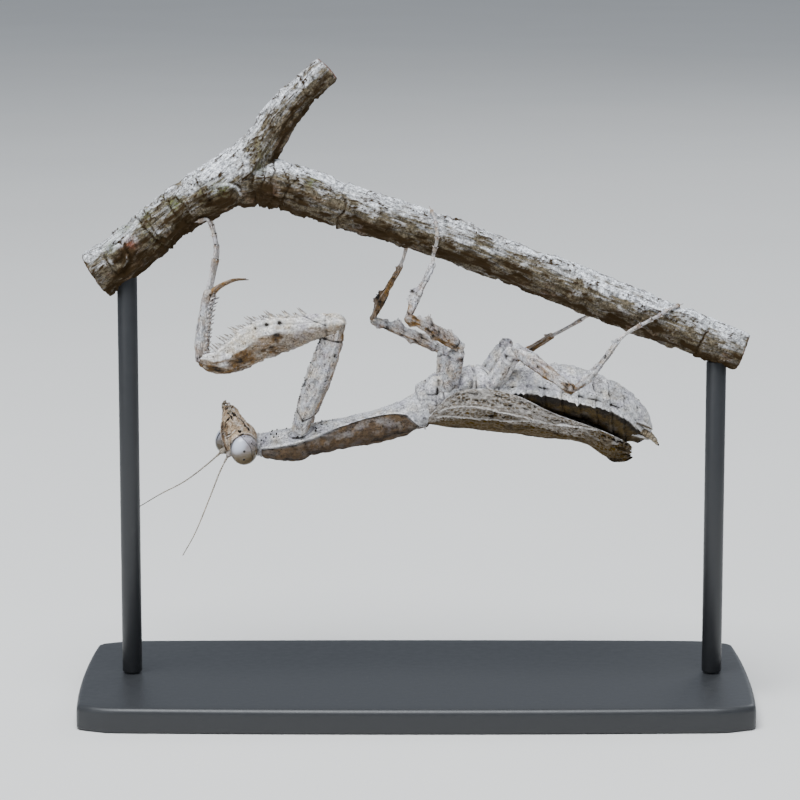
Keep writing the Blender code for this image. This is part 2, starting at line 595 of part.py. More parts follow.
def build_foreleg(shop, side, body, limb):
    paths = (FORE_COXA, FORE_FEMUR, FORE_TIBIA, FORE_CLAW, FORE_FOOT)
    footholds = FORE_FOOTHOLDS
    if side == "left":
        paths = [mirrored(rows, LEFT_FORELEG_SHIFT) for rows in paths]
        footholds = [(x, -angle) for x, angle in footholds]
    coxa, femur, tibia, claw, foot = paths
    name = f"foreleg_{side}"
    _, coxa_copy = shop.build(loft, f"{name}_coxa", both_edges(coxa), (-1.0, 0.0, 0.0),
                              material="pale_cuticle", sides=8, steps=2, ends=(0.5, 0.9),
                              cut_by=(body["front"],))
    femur_piece, femur_copy = shop.build(loft, f"{name}_femur", both_edges(femur), UP,
                                         material="brown_cuticle", sides=8, steps=2, ends=(1.3, 0.8))
    lengths = [SPINE_LENGTHS[number % 2] for number in range(FORE_SPINES)]
    radii = [SPINE_RADIUS] * FORE_SPINES
    parts = np.linspace(*FEMUR_SPINE_SPAN, FORE_SPINES)
    rows = edge_spikes(both_edges(femur), UP, parts, lengths, radii, SPINE_LEAN)
    spines = spikes(f"{name}_femur_spines", rows, shop.materials["feeler"], shop.guides)
    shop.boolean(femur_piece, spines, "UNION")
    shop.boolean(femur_piece, coxa_copy(f"{name}_coxa_clearance"), "DIFFERENCE")

    toward = (1.0, 0.0, 0.0)
    tibia_piece, tibia_copy = shop.build(loft, f"{name}_tibia", both_edges(tibia), toward,
                                         material="pale_cuticle", sides=8, steps=2, ends=(0.4, 0.6))
    lengths = np.linspace(*TIBIA_SPINE_LENGTHS, FORE_SPINES)
    parts = np.linspace(*TIBIA_SPINE_SPAN, FORE_SPINES)
    rows = edge_spikes(both_edges(tibia), toward, parts, lengths, radii, SPINE_LEAN)
    spines = spikes(f"{name}_tibia_spines", rows, shop.materials["feeler"], shop.guides)
    shop.boolean(tibia_piece, spines, "UNION")
    hook_rows = smooth_rows(claw, 2)
    hook = tube(f"{name}_hook", hook_rows[:, :3], hook_rows[:, 3], shop.materials["feeler"],
                shop.guides)
    shop.boolean(tibia_piece, hook, "UNION")
    shop.boolean(tibia_piece, femur_copy(f"{name}_femur_clearance"), "DIFFERENCE")

    build_tarsus(shop, name, (*foot, *footholds), LIMB_LEFT, (tibia_copy, limb))


def build_tarsus(shop, name, places, limb_path, neighbours):
    """Foot: a thin tube through free points and footholds, swollen at its five joints, thin at the claw."""
    knots = [place if len(place) == 3 else on_branch(limb_path, *place, TARSUS_RADIUS + FOOT_LIFT)
             for place in places]
    points = smooth_rows(knots, 2)
    along = np.linspace(0.0, 1.0, len(points))
    swelling = 1.0 + TARSUS_SWELLING * np.cos(along * TARSUS_JOINTS * 2 * math.pi)
    radii = TARSUS_RADIUS * swelling * np.where(along > TARSUS_CLAW_FROM, TARSUS_CLAW_SCALE, 1.0)
    shop.build(tube, f"{name}_tarsus", points, radii, material="pale_cuticle", cut_by=neighbours)


def rows_along(path, profile):
    """Rows of a limb: its profile set along a smooth path."""
    curve = smooth_rows(path, 8)
    parts = length_parts(curve)
    rows = []
    for part, width, high in profile:
        centre = [np.interp(part, parts, curve[:, axis]) for axis in range(3)]
        rows.append((*centre, width, high, high))
    return rows


def build_walking_leg(shop, name, paths, body, limb):
    towards = {"coxa": (1.0, 0.0, 0.0), "femur": UP, "tibia": (-1.0, 0.0, 0.4)}
    neighbours = (body["middle"], body["rear"])
    for part, toward in towards.items():
        rows = rows_along(paths[part], PROFILES[part])
        piece, copy = shop.build(loft, f"{name}_{part}", rows, toward, material="pale_cuticle",
                                 sides=6 if part == "tibia" else 8, steps=2, ends=(0.4, 0.6))
        lobes = LOBES.get(f"{name.split('_')[0]}_{part}")
        if lobes:
            spans, lengths, radii = zip(*lobes)
            fins = edge_spikes(rows, toward, spans, lengths, radii, LOBE_LEAN)
            fin_mesh = spikes(f"{name}_{part}_lobes", fins, shop.materials["pale_cuticle"], shop.guides)
            shop.boolean(piece, fin_mesh, "UNION")
        for number, neighbour in enumerate(neighbours):
            shop.boolean(piece, neighbour(f"{name}_{part}_clearance_{number}"), "DIFFERENCE")
        neighbours = (copy,)
    build_tarsus(shop, name, paths["foot"], LIMB_RIGHT, (*neighbours, limb))


def main():
    clear_scene()
    shop = Workshop()
    limbs = build_perch(shop)
    build_stand(shop, limbs)
    body = build_trunk(shop)
    for side, sign in (("right", RIGHT), ("left", LEFT)):
        build_wing(shop, side, sign)
        build_foreleg(shop, side, body, limbs["left"])
    for name, joints in WALKING_LEGS.items():
        build_walking_leg(shop, name, joints, body, limbs["right"])
    build_head(shop, body["neck"])


main()
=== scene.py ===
"""Life-size African twig mantis, an adult female, hanging under a cut forked branch on a display stand.

Lengths in the tables below are millimetres in the frame's own axes: +Z up, the floor at Z = 0, the
head towards -X and the mantis's right side towards -Y.  It hangs upside down, so its belly faces up.
"""

import math

import bpy
import numpy as np
from bpy.props import FloatProperty, FloatVectorProperty, PointerProperty
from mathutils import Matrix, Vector


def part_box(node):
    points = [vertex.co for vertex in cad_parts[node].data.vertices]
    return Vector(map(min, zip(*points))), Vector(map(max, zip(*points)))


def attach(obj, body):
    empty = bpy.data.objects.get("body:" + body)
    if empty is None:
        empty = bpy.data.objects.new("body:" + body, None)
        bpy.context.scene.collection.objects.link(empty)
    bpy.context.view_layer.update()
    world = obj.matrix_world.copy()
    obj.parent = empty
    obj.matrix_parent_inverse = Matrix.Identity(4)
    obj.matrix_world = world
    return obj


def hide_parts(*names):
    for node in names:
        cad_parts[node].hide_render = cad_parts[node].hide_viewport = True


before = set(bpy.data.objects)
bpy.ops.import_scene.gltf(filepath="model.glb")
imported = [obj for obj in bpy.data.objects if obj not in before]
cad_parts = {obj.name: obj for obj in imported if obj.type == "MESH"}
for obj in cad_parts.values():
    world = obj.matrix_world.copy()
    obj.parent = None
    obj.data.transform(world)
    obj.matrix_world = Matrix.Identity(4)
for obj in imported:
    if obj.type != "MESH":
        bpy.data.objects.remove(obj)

bl_info = {
    "name": "Twig mantis on a branch",
    "version": (1, 0, 0),
    "blender": (4, 5, 0),
    "location": "3D View > Sidebar > Mantis",
    "description": "Builds a life-size twig mantis, its branch, its stand and the stage",
    "category": "Object",
}

MM = 0.001
TAU = 2 * math.pi
QUARTER = math.pi / 2
UP = (0.0, 0.0, 1.0)
SIDES = {"right": -1.0, "left": 1.0}     # sign of Y
MASKS = ("warm", "dark", "pale")
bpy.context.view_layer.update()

# Head: the point midway between the eyes, the head's own right, and its crown.
HEAD_PLACE = (-28.75, -1.1, 41.9)
HEAD_RIGHT = (0.517, -0.844, -0.145)
HEAD_CROWN = (0.121, 0.239, -0.963)


# --------------------------------------------------------------------------------------- small tools

def srgb(code):
    """Hex colour as linear red, green and blue."""
    channels = np.array([int(code[at:at + 2], 16) for at in (0, 2, 4)]) / 255
    linear = np.where(channels <= 0.04045, channels / 12.92, ((channels + 0.055) / 1.055) ** 2.4)
    return tuple(linear.tolist())


def unit(vectors):
    """Vectors of length 1 in the same directions."""
    return vectors / np.linalg.norm(vectors, axis=-1, keepdims=True)


def smoothstep(values, low, high):
    """0 below low, 1 above high, and an S curve between."""
    part = np.clip((values - low) / (high - low), 0, 1)
    return part * part * (3 - 2 * part)


def bell(values, width):
    """Bell curve: 1 at zero, and 1/e at the width."""
    return np.exp(-(values / width) ** 2)


def turn_gap(angles, centre):
    """Signed difference of angles, from -pi to pi."""
    return (angles - centre + math.pi) % TAU - math.pi


def wander(points, cell, seed, octaves=1):
    """Smooth random field from -1 to 1: random numbers at the corners of a cubic lattice of `cell` mm,
    blended by an S curve; each further octave is half the size and half the height."""
    table = np.random.default_rng(seed).random(4096) * 2 - 1
    points = np.asarray(points, float) / cell
    total, height = 0.0, 1.0
    for _ in range(octaves):
        base = np.floor(points).astype(np.int64)
        part = points - base
        part = part * part * (3 - 2 * part)
        for corner in range(8):
            step = np.array([corner & 1, corner >> 1 & 1, corner >> 2])
            place = (base + step) * np.array([73856093, 19349663, 83492791])
            key = (place[..., 0] ^ place[..., 1] ^ place[..., 2]) & 4095
            share = np.prod(np.where(step, part, 1 - part), axis=-1)
            total = total + height * share * table[key]
        points, height = points * 2 + 17.3, height / 2
    return total


def catmull(rows, count):
    """Catmull-Rom curve through rows of numbers, at evenly spaced parameters."""
    rows = np.asarray(rows, float)
    padded = np.vstack((2 * rows[0] - rows[1], rows, 2 * rows[-1] - rows[-2]))
    place = np.linspace(0, len(rows) - 1, count)
    start = np.minimum(place.astype(int), len(rows) - 2)
    t = (place - start)[:, None]
    a, b, c, d = (padded[start + step] for step in range(4))
    return b + 0.5 * t * (c - a + t * (2 * a - 5 * b + 4 * c - d + t * (3 * (b - c) + d - a)))


def streaks_of(values, cell, seed, octaves=1, shift=0.0):
    """Smooth random field that varies along one direction only; another shift gives another field."""
    return wander(np.stack((values, values * 0 + shift, values * 0), -1), cell, seed, octaves)


def path_length(points):
    """Length of a path through points."""
    return np.linalg.norm(np.diff(points, axis=0), axis=1).sum()


def travelled(points):
    """Part of a path's length at each of its points."""
    steps = np.linalg.norm(np.diff(points, axis=0), axis=1)
    return np.concatenate(((0.0,), np.cumsum(steps))) / steps.sum()


def even_rows(rows, count):
    """The same curve at evenly spaced lengths along it."""
    dense = catmull(rows, 40 * len(rows))
    parts = travelled(dense[:, :3])
    wanted = np.linspace(0, 1, count)
    return np.stack([np.interp(wanted, parts, column) for column in dense.T], axis=1)


def profiled(path, profile):
    """Rows of a limb: a profile of (part of the length, half width, half height) set along a path."""
    curve = catmull(path, 200)
    parts = travelled(curve)
    rows = []
    for part, width, high in profile:
        rows.append((*(np.interp(part, parts, column) for column in curve.T), width, high, high))
    return rows


# ------------------------------------------------------------------------------------ skins and shells

class Skin:
    """Closed tube of rings carried along a curve, as arrays indexed [ring, side].

    Each ring is a superellipse square to the curve: its sideways reach is the half width times the
    cosine of the angle, and its height is the rise (or the drop, below) times the sine, both with the
    power 2 / `power` of their size.  The rings of each end shrink on a quarter circle to a pole.
    `t` is the part of the length, `angle` the turn round, 90 degrees being nearest to `toward`.
    """

    def __init__(self, rows, toward, rings, sides, ends=(0.4, 0.4), power=2.0, cap=5):
        samples = even_rows(rows, rings)
        centres, sizes = samples[:, :3], samples[:, 3:]
        self.length = path_length(centres)
        tangents = unit(np.gradient(centres, axis=0))
        across = unit(np.cross(np.asarray(toward, float), tangents))
        rise = np.cross(tangents, across)
        turns = np.linspace(QUARTER, 0, cap + 2)[1:-1]
        index = np.concatenate((np.zeros(cap, int), np.arange(rings), np.full(cap, rings - 1)))
        reach = np.concatenate((-np.sin(turns) * ends[0], np.zeros(rings), np.sin(turns[::-1]) * ends[1]))
        scale = np.concatenate((np.cos(turns), np.ones(rings), np.cos(turns[::-1])))
        self.t = (index / (rings - 1))[:, None]
        self.angle = (np.arange(sides) * TAU / sides)[None, :]
        cosine, sine = np.cos(self.angle), np.sin(self.angle)
        sideways = np.sign(cosine) * np.abs(cosine) ** (2 / power)
        upward = np.sign(sine) * np.abs(sine) ** (2 / power)
        width, high, low = (sizes[index, column, None] * scale[:, None] for column in range(3))
        self.centres = (centres[index] + tangents[index] * reach[:, None])[:, None]
        self.tangent, self.across, self.rise = (part[index][:, None] for part in (tangents, across, rise))
        self.grid = (self.centres + self.across * (sideways * width)[..., None]
                     + self.rise * (np.where(upward > 0, high, low) * upward)[..., None])
        self.poles = np.array((centres[0] - tangents[0] * ends[0], centres[-1] + tangents[-1] * ends[1]))
        self.masks = {name: np.zeros(self.grid.shape[:2]) for name in MASKS}

    def normals(self):
        """Outward unit normals at the points of the grid."""
        along = np.gradient(self.grid, axis=0)
        around = np.roll(self.grid, -1, axis=1) - np.roll(self.grid, 1, axis=1)
        normals = np.cross(around, along)
        normals /= np.linalg.norm(normals, axis=-1, keepdims=True) + 1e-12
        outward = np.sign((normals * (self.grid - self.centres)).sum())
        return normals * outward

    def push(self, amount):
        """Move every point of the grid along its normal by an amount in mm; the poles stay where they are."""
        self.grid = self.grid + self.normals() * np.asarray(amount * np.ones(self.grid.shape[:2]))[..., None]
        return self

    def lift(self, amount, sideways=0.0):
        """Move points along the rise direction, and across by a second amount."""
        self.grid = (self.grid + self.rise * np.asarray(amount)[..., None]
                     + self.across * np.asarray(sideways * np.ones(self.grid.shape[:2]))[..., None])
        return self

    def paint(self, **masks):
        """Add amounts to the masks, kept from 0 to 1."""
        for name, amount in masks.items():
            self.masks[name] = np.clip(self.masks[name] + amount, 0, 1)
        return self

    def place(self, turn, shift):
        """Turn by a matrix whose columns are the skin's axes, then move."""
        self.grid = self.grid @ turn.T + shift
        self.poles = self.poles @ turn.T + shift
        return self

    def rolled(self, along, reach):
        """Points on a cylinder for a noise with no seam: `along` is their place on its axis."""
        turns = self.angle + 0 * self.t
        return np.stack((along + 0 * self.angle, np.cos(turns) * reach, np.sin(turns) * reach), -1)

    def shell(self):
        """Points, faces, UV map and masks of the closed tube."""
        rings, sides = self.grid.shape[:2]
        quads, caps = ring_faces(rings, sides)
        u = np.repeat(np.linspace(0, 1, rings), sides)
        v = np.tile(np.arange(sides) / sides, rings)
        uv = np.stack((np.append(u, (0.0, 1.0)), np.append(v, (0.5, 0.5))), -1)
        points = np.concatenate((self.grid.reshape(-1, 3), self.poles))
        if self.facing_in():
            quads, caps = quads[:, ::-1], caps[:, ::-1]
        masks = {name: np.concatenate((mask.ravel(), (mask[0].mean(), mask[-1].mean())))
                 for name, mask in self.masks.items()}
        return {"points": points, "quads": quads, "tris": caps, "uv": uv, "masks": masks}

    def facing_in(self):
        """True where faces wound ring by ring would point to the middle."""
        along = np.gradient(self.grid, axis=0)
        around = np.roll(self.grid, -1, axis=1) - np.roll(self.grid, 1, axis=1)
        return (np.cross(around, along) * (self.grid - self.centres)).sum() < 0


def ring_faces(rings, sides):
    """Quads between rings of points, and triangles from each end ring to a pole: the two poles come
    after the rings' points."""
    ring, side = np.meshgrid(np.arange(rings - 1) * sides, np.arange(sides), indexing="ij")
    after = (side + 1) % sides
    quads = np.stack((ring + side, ring + after, ring + sides + after, ring + sides + side),
                     -1).reshape(-1, 4)
    side, after = side[0], after[0]
    last = (rings - 1) * sides
    caps = np.concatenate((np.stack((np.full(sides, last + sides), after, side), -1),
                           np.stack((np.full(sides, last + sides + 1), side + last, after + last), -1)))
    return quads, caps


def spines(roots, tips, radii, dark_from, sides=6, bend=(0.0, 0.0, 0.0)):
    """Many thin cones in one shell: four rings from root to tip, each cone bowed by `bend` times its
    length on a parabola; the tip is dark."""
    roots, tips = np.asarray(roots, float), np.asarray(tips, float)
    radii = np.broadcast_to(np.asarray(radii, float), len(roots))
    axis = tips - roots
    length = np.linalg.norm(axis, axis=1, keepdims=True)
    axis = axis / length
    helper = np.where(np.abs(axis[:, :1]) < 0.8, [[1.0, 0, 0]], [[0, 1.0, 0]])
    side_one = unit(np.cross(axis, helper))
    side_two = np.cross(axis, side_one)
    levels = np.array((0.0, 0.35, 0.7, 0.92))
    shrink = np.array((1.0, 0.72, 0.4, 0.16))
    turns = np.arange(sides) * TAU / sides
    count, rings = len(roots), len(levels)
    circle = (np.cos(turns)[None, :, None] * side_one[:, None]
              + np.sin(turns)[None, :, None] * side_two[:, None])
    bow = np.asarray(bend, float) * length[:, None]
    middle = (roots[:, None] + (tips - roots)[:, None] * levels[None, :, None]
              + bow * (levels * (1 - levels))[None, :, None])
    points = middle[:, :, None] + circle[:, None] * (radii[:, None] * shrink)[:, :, None, None]
    points = np.concatenate((points.reshape(count, -1, 3), roots[:, None], tips[:, None]), axis=1)
    each = rings * sides + 2
    quads, tris = ring_faces(rings, sides)
    offsets = (np.arange(count) * each)[:, None, None]
    tone = np.concatenate((np.repeat(levels, sides), (0.0, 1.0)))
    masks = {name: np.zeros(count * each) for name in MASKS}
    masks["dark"] = np.tile(smoothstep(tone, dark_from, 1.05), count)
    masks["pale"] = np.tile(1 - smoothstep(tone, 0.1, dark_from), count) * 0.6
    masks["warm"] = np.tile(smoothstep(tone, 0.1, 0.6), count) * 0.5
    uv = np.tile(np.stack((0.02 * tone, np.full(each, 0.5)), -1), (count, 1))
    return {"points": points.reshape(-1, 3), "quads": (quads + offsets).reshape(-1, 4),
            "tris": (tris + offsets).reshape(-1, 3), "uv": uv, "masks": masks}


def joined(shells):
    """Points in metres, quads and triangles of several shells as one."""
    starts = np.cumsum([0] + [len(shell["points"]) for shell in shells])
    points = np.concatenate([shell["points"] for shell in shells]) * MM
    quads, tris = (np.concatenate([shell[kind] + start for shell, start in zip(shells, starts)])
                   for kind in ("quads", "tris"))
    return points, quads, tris


def make_piece(name, shells, material, nodes, smooth_angle=50):
    """One mesh object at the origin from shells in mm, riding on the root and replacing its nodes."""
    points, quads, tris = joined(shells)
    uv = np.concatenate([shell["uv"] for shell in shells])
    loops = np.concatenate((quads.ravel(), tris.ravel()))
    mesh = bpy.data.meshes.new(name)
    mesh.vertices.add(len(points))
    mesh.vertices.foreach_set("co", points.ravel())
    mesh.loops.add(len(loops))
    mesh.loops.foreach_set("vertex_index", loops)
    counts = np.concatenate((np.full(len(quads), 4), np.full(len(tris), 3)))
    mesh.polygons.add(len(counts))
    mesh.polygons.foreach_set("loop_start", np.concatenate(((0,), np.cumsum(counts)[:-1])))
    corner_uv = uv[loops].copy()
    quad_v = corner_uv[:quads.size, 1].reshape(-1, 4)
    seam = quad_v.max(1) - quad_v.min(1) > 0.5
    quad_v[seam] = np.where(quad_v[seam] < 0.25, quad_v[seam] + 1, quad_v[seam])
    corner_uv[:quads.size, 1] = quad_v.ravel()
    mesh.uv_layers.new(name="surface").data.foreach_set("uv", corner_uv.ravel())
    for mask in MASKS:
        values = np.concatenate([shell["masks"][mask] for shell in shells])
        mesh.attributes.new(mask, "FLOAT", "POINT").data.foreach_set("value", values.astype(np.float32))
    mesh.update(calc_edges=True)
    if mesh.validate():
        raise RuntimeError(f"{name} has faces that Blender had to mend")
    mesh.shade_smooth()
    mesh.set_sharp_from_angle(angle=math.radians(smooth_angle))
    return finish_piece(name, mesh, material, nodes)


def finish_piece(name, mesh, material, nodes):
    """Object of a mesh, riding on the root in the place of its nodes."""
    mesh.materials.clear()
    mesh.materials.append(material)
    piece = bpy.data.objects.new(name, mesh)
    bpy.context.scene.collection.objects.link(piece)
    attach(piece, "root")
    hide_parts(*nodes)
    return piece


def stay_put(name, points, node, slack):
    """Raise an error unless the points' middle lies within `slack` mm of the CAD node's."""
    low, high = (np.array(corner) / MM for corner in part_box(node))
    miss = np.abs((points.min(0) + points.max(0)) / 2 - (low + high) / 2).max()
    if miss > slack:
        raise RuntimeError(f"{name} lies {miss:.2f} mm away from {node}")


# ----------------------------------------------------------------------------------------- materials

def add(tree, kind, inputs=(), out=0, **settings):
    """One output of a new shader node.  The settings are the node's own; the inputs go in by order, or
    by name or number, where a socket is linked and anything else is set."""
    node = tree.nodes.new("ShaderNode" + kind)
    for key, value in settings.items():
        setattr(node, key, value)
    for key, value in inputs.items() if isinstance(inputs, dict) else enumerate(inputs):
        if isinstance(value, bpy.types.NodeSocket):
            tree.links.new(value, node.inputs[key])
        else:
            node.inputs[key].default_value = value
    return node.outputs[out]


def new_material(name, roughness, specular=0.5, coat=0.0, masks=()):
    """Material, with its node tree, its shader, Object coordinates in metres, and its masks."""
    material = bpy.data.materials.new(name)
    material.use_nodes = True
    tree = material.node_tree
    shader = tree.nodes["Principled BSDF"]
    for socket, value in (("Roughness", roughness), ("Specular IOR Level", specular),
                          ("Coat Weight", coat)):
        shader.inputs[socket].default_value = value
    mask = {key: add(tree, "Attribute", out="Fac", attribute_name=key) for key in masks}
    return material, tree, shader, add(tree, "TexCoord", out="Object"), mask


def rgba(colour):
    """Colour with full alpha."""
    return (*colour, 1.0)


def per_metre(size_mm):
    """Texture scale for features of a size in mm."""
    return 1 / (size_mm * MM)


def coat_surface(tree, shader, colour, height, strength, depth, **settings):
    """Give a shader its colour and a relief whose depth is in mm."""
    tree.links.new(colour, shader.inputs["Base Color"])
    relief = add(tree, "Bump", {"Height": height, "Strength": strength, "Distance": depth * MM}, **settings)
    tree.links.new(relief, shader.inputs["Normal"])


def lucky_cells(tree, place, scale, randomness, size, noise, chance):
    """Round spots in the middle of some cells of a Voronoi pattern, the likelier the higher the noise."""
    cells = add(tree, "TexVoronoi", {"Vector": place, "Scale": scale, "Randomness": randomness})
    spot = add(tree, "MapRange", (cells, *size, 1.0, 0.0))
    luck = add(tree, "SeparateColor", (cells.node.outputs["Color"],))
    luck = add(tree, "Math", (luck, noise), operation="MULTIPLY")
    luck = add(tree, "MapRange", (luck, *chance))
    return add(tree, "Math", (spot, luck), operation="MULTIPLY")


def darkened(tree, colour, dark, marks, mask, noise, reach=(0.22, 0.85), spread=(0.35, 0.65, -0.25, 0.25)):
    """The colour, darkened by marks and by a mask whose edge a noise makes ragged, and that share."""
    ragged = add(tree, "MapRange", (noise, *spread))
    shade = add(tree, "Math", (mask, ragged), operation="ADD")
    shade = add(tree, "MapRange", (shade, *reach))
    marks = add(tree, "Math", (marks, shade), operation="MAXIMUM", use_clamp=True)
    return add(tree, "Mix", {0: marks, 6: colour, 7: dark}, 2, data_type="RGBA"), marks


def cuticle(name, colours, speck=0.42, mottle=1.6, streak=(10.0, 9.0), bump=0.5, roughness=0.72,
            speck_amount=0.5, crackle=0.75, tints=0.5):
    """Insect cuticle: dull, faintly waxy chitin over pigment.

    The pigment is mottled by noise and coloured by the masks: `warm` brings the warm colour, `pale` the
    pale one, and `dark` the dark one; the pieces also paint shade with `dark` in grooves and on lower
    sides, and a highlight with `pale` on the cheek and jaw.  Dark pores are small cells of a Voronoi
    pattern, clustered by noise, and the fine relief is pitted and wrinkled.  `streak` draws the mottling
    out along one axis of the piece's own UV map, as lengthwise wrinkles do.
    """
    base, warm, pale, dark = (rgba(colours[key]) for key in ("base", "warm", "pale", "dark"))
    material, tree, shader, place, mask = new_material(name, roughness, specular=0.35, masks=MASKS)
    mottles, fine, tint, cluster = (
        add(tree, "TexNoise", {"Vector": place, "Scale": per_metre(size), "Detail": detail,
                               "Roughness": rough})
        for size, detail, rough in ((mottle, 7.0, 0.62), (0.35, 5.0, 0.65), (2.2, 4.0, 0.6),
                                    (2.6, 2.0, 0.5)))
    # Warm stains: the mask, broken up by the mottling.
    stain = add(tree, "MapRange", (mottles, 0.36, 0.64, -0.28, 0.34))
    steady = add(tree, "Math", (mask["warm"], -0.6, 1.0), operation="MULTIPLY_ADD")
    stain = add(tree, "Math", (stain, steady, mask["warm"]), operation="MULTIPLY_ADD", use_clamp=True)
    colour = add(tree, "Mix", {0: stain, 6: base, 7: warm}, 2, data_type="RGBA")
    # Pale grain where there is no stain, and the pale colour everywhere on the pale mask, which on the
    # cheek and jaw is a painted highlight.
    pale_and_highlight = add(tree, "MapRange", (fine, 0.45, 0.72, 0.0, 0.45))
    unstained = add(tree, "Math", (1.0, stain), operation="SUBTRACT", use_clamp=True)
    pale_and_highlight = add(tree, "Math", (pale_and_highlight, unstained), operation="MULTIPLY")
    pale_and_highlight = add(tree, "Math", (mask["pale"], 0.9, pale_and_highlight), operation="MULTIPLY_ADD", use_clamp=True)
    colour = add(tree, "Mix", {0: pale_and_highlight, 6: colour, 7: pale}, 2, data_type="RGBA")
    # Faint yellow and lilac-grey tints, a few mm wide.
    for low, high, shade in ((0.52, 0.68, (1.0, 0.86, 0.62, 1.0)), (0.49, 0.33, (0.66, 0.62, 0.76, 1.0))):
        share = add(tree, "MapRange", (tint, low, high, 0.0, tints))
        colour = add(tree, "Mix", {0: share, 6: colour, 7: shade}, 2, data_type="RGBA",
                     blend_type="MULTIPLY")
    # Wide clouds and a fine grey grain.
    clouds = add(tree, "MapRange", (mottles, 0.32, 0.62, 0.55, 1.1))
    grain = add(tree, "MapRange", (fine, 0.34, 0.66, 0.5, 1.35))
    grain = add(tree, "Math", (grain, clouds), operation="MULTIPLY")
    colour = add(tree, "VectorMath", {0: colour, "Scale": grain}, operation="SCALE")
    # Pores, clustered where a wide noise is high.
    rare = 0.42 * speck_amount
    spot = lucky_cells(tree, place, per_metre(speck), 1.0, (0.16, 0.30), cluster,
                       (0.58 - rare, 0.66 - rare))
    # Dark wrinkles: thin lines where a noise, drawn out along the piece, crosses its middle value.
    surface = add(tree, "UVMap", uv_map="surface")
    drawn = add(tree, "VectorMath", (surface, (*streak, 1.0)), operation="MULTIPLY")
    bend = add(tree, "TexNoise", {"Vector": place, "Scale": per_metre(0.9), "Detail": 3.0}, "Color")
    drawn = add(tree, "VectorMath", (bend, (0.9, 0.9, 0.9), drawn), operation="MULTIPLY_ADD")
    wrinkle = add(tree, "TexNoise", {"Vector": drawn, "Scale": 1.0, "Detail": 6.0, "Roughness": 0.6,
                                     "Distortion": 0.4})
    wrinkle = add(tree, "Math", (wrinkle, 0.5, 0.014), operation="COMPARE")
    # Crackle: the edges of cells drawn out along the piece.
    cracks = add(tree, "TexVoronoi", {"Vector": drawn, "Scale": 1.0, "Randomness": 1.0},
                 feature="DISTANCE_TO_EDGE")
    cracks = add(tree, "MapRange", (cracks, 0.01, 0.08, crackle, 0.0))
    wrinkle = add(tree, "Math", (wrinkle, cracks), operation="MAXIMUM")
    broken = add(tree, "MapRange", (mottles, 0.42, 0.54))
    for share in (broken, 0.85):
        wrinkle = add(tree, "Math", (wrinkle, share), operation="MULTIPLY")
    marks = add(tree, "Math", (spot, wrinkle), operation="MAXIMUM")
    clean = add(tree, "Math", (mask["pale"], -0.9, 1.0), operation="MULTIPLY_ADD")
    marks = add(tree, "Math", (marks, clean), operation="MULTIPLY")
    colour, marks = darkened(tree, colour, dark, marks, mask["dark"], fine)
    # Relief: wrinkles and pits.
    pits = add(tree, "TexVoronoi", {"Vector": place, "Scale": per_metre(0.22), "Randomness": 0.9})
    height = add(tree, "Math", (pits, 0.5, fine), operation="MULTIPLY_ADD")
    height = add(tree, "Math", (height, marks), operation="SUBTRACT")
    coat_surface(tree, shader, colour, height, bump, 0.16)
    dullness = add(tree, "MapRange", (fine, 0.3, 0.7, roughness - 0.1, min(1.0, roughness + 0.12)))
    tree.links.new(dullness, shader.inputs["Roughness"])
    return material


def tegmen(name, colours):
    """Leathery forewing: dull netted membrane between raised veins.

    The mask `pale` holds the long veins and the front edge, `warm` the brown hind field, and `dark` the
    stigma and the tip.  Between the veins a Voronoi net of small cells, drawn out along the wing,
    gives the cross-veins, which are pale with dark pinholes between them.
    """
    base, warm, pale, dark = (rgba(colours[key]) for key in ("base", "warm", "pale", "dark"))
    material, tree, shader, place, mask = new_material(name, 0.78, specular=0.06, masks=MASKS)
    surface = add(tree, "UVMap", uv_map="surface")
    # One UV unit is about 31 mm along and 12 mm across: cells of 0.75 by 0.5 mm.
    netting = add(tree, "VectorMath", (surface, (42.0, 26.0, 1.0)), operation="MULTIPLY")
    net = add(tree, "TexVoronoi", {"Vector": netting, "Scale": 1.0, "Randomness": 0.85},
              feature="DISTANCE_TO_EDGE")
    vein = add(tree, "MapRange", (net, 0.03, 0.2, 1.0, 0.0))
    mottles, fine = (
        add(tree, "TexNoise", {"Vector": place, "Scale": per_metre(size), "Detail": detail,
                               "Roughness": rough})
        for size, detail, rough in ((1.8, 6.0, 0.6), (0.4, 5.0, 0.65)))
    share = add(tree, "MapRange", (mottles, 0.35, 0.65, -0.3, 0.3))
    share = add(tree, "Math", (mask["warm"], 1.35, share), operation="MULTIPLY_ADD", use_clamp=True)
    colour = add(tree, "Mix", {0: share, 6: base, 7: warm}, 2, data_type="RGBA")
    web = add(tree, "Math", (mask["warm"], -0.30, 0.38), operation="MULTIPLY_ADD")
    web = add(tree, "Math", (vein, web), operation="MULTIPLY")
    web = add(tree, "Math", (web, mask["pale"]), operation="MAXIMUM")
    colour = add(tree, "Mix", {0: web, 6: colour, 7: pale}, 2, data_type="RGBA")
    grain = add(tree, "MapRange", (fine, 0.34, 0.66, 0.6, 1.25))
    colour = add(tree, "VectorMath", {0: colour, "Scale": grain}, operation="SCALE")
    # Dark pinholes in some cells, in lines along the wing, and hardly any on the brown field.
    hole = lucky_cells(tree, netting, 1.0, 0.85, (0.16, 0.42), mottles, (0.18, 0.3))
    even = add(tree, "Math", (mask["warm"], -0.78, 0.85), operation="MULTIPLY_ADD")
    hole = add(tree, "Math", (hole, even), operation="MULTIPLY")
    colour, _ = darkened(tree, colour, dark, hole, mask["dark"], fine, (0.22, 0.8))
    height = add(tree, "Math", (vein, 0.6, fine), operation="MULTIPLY_ADD")
    coat_surface(tree, shader, colour, height, 0.5, 0.1)
    return material


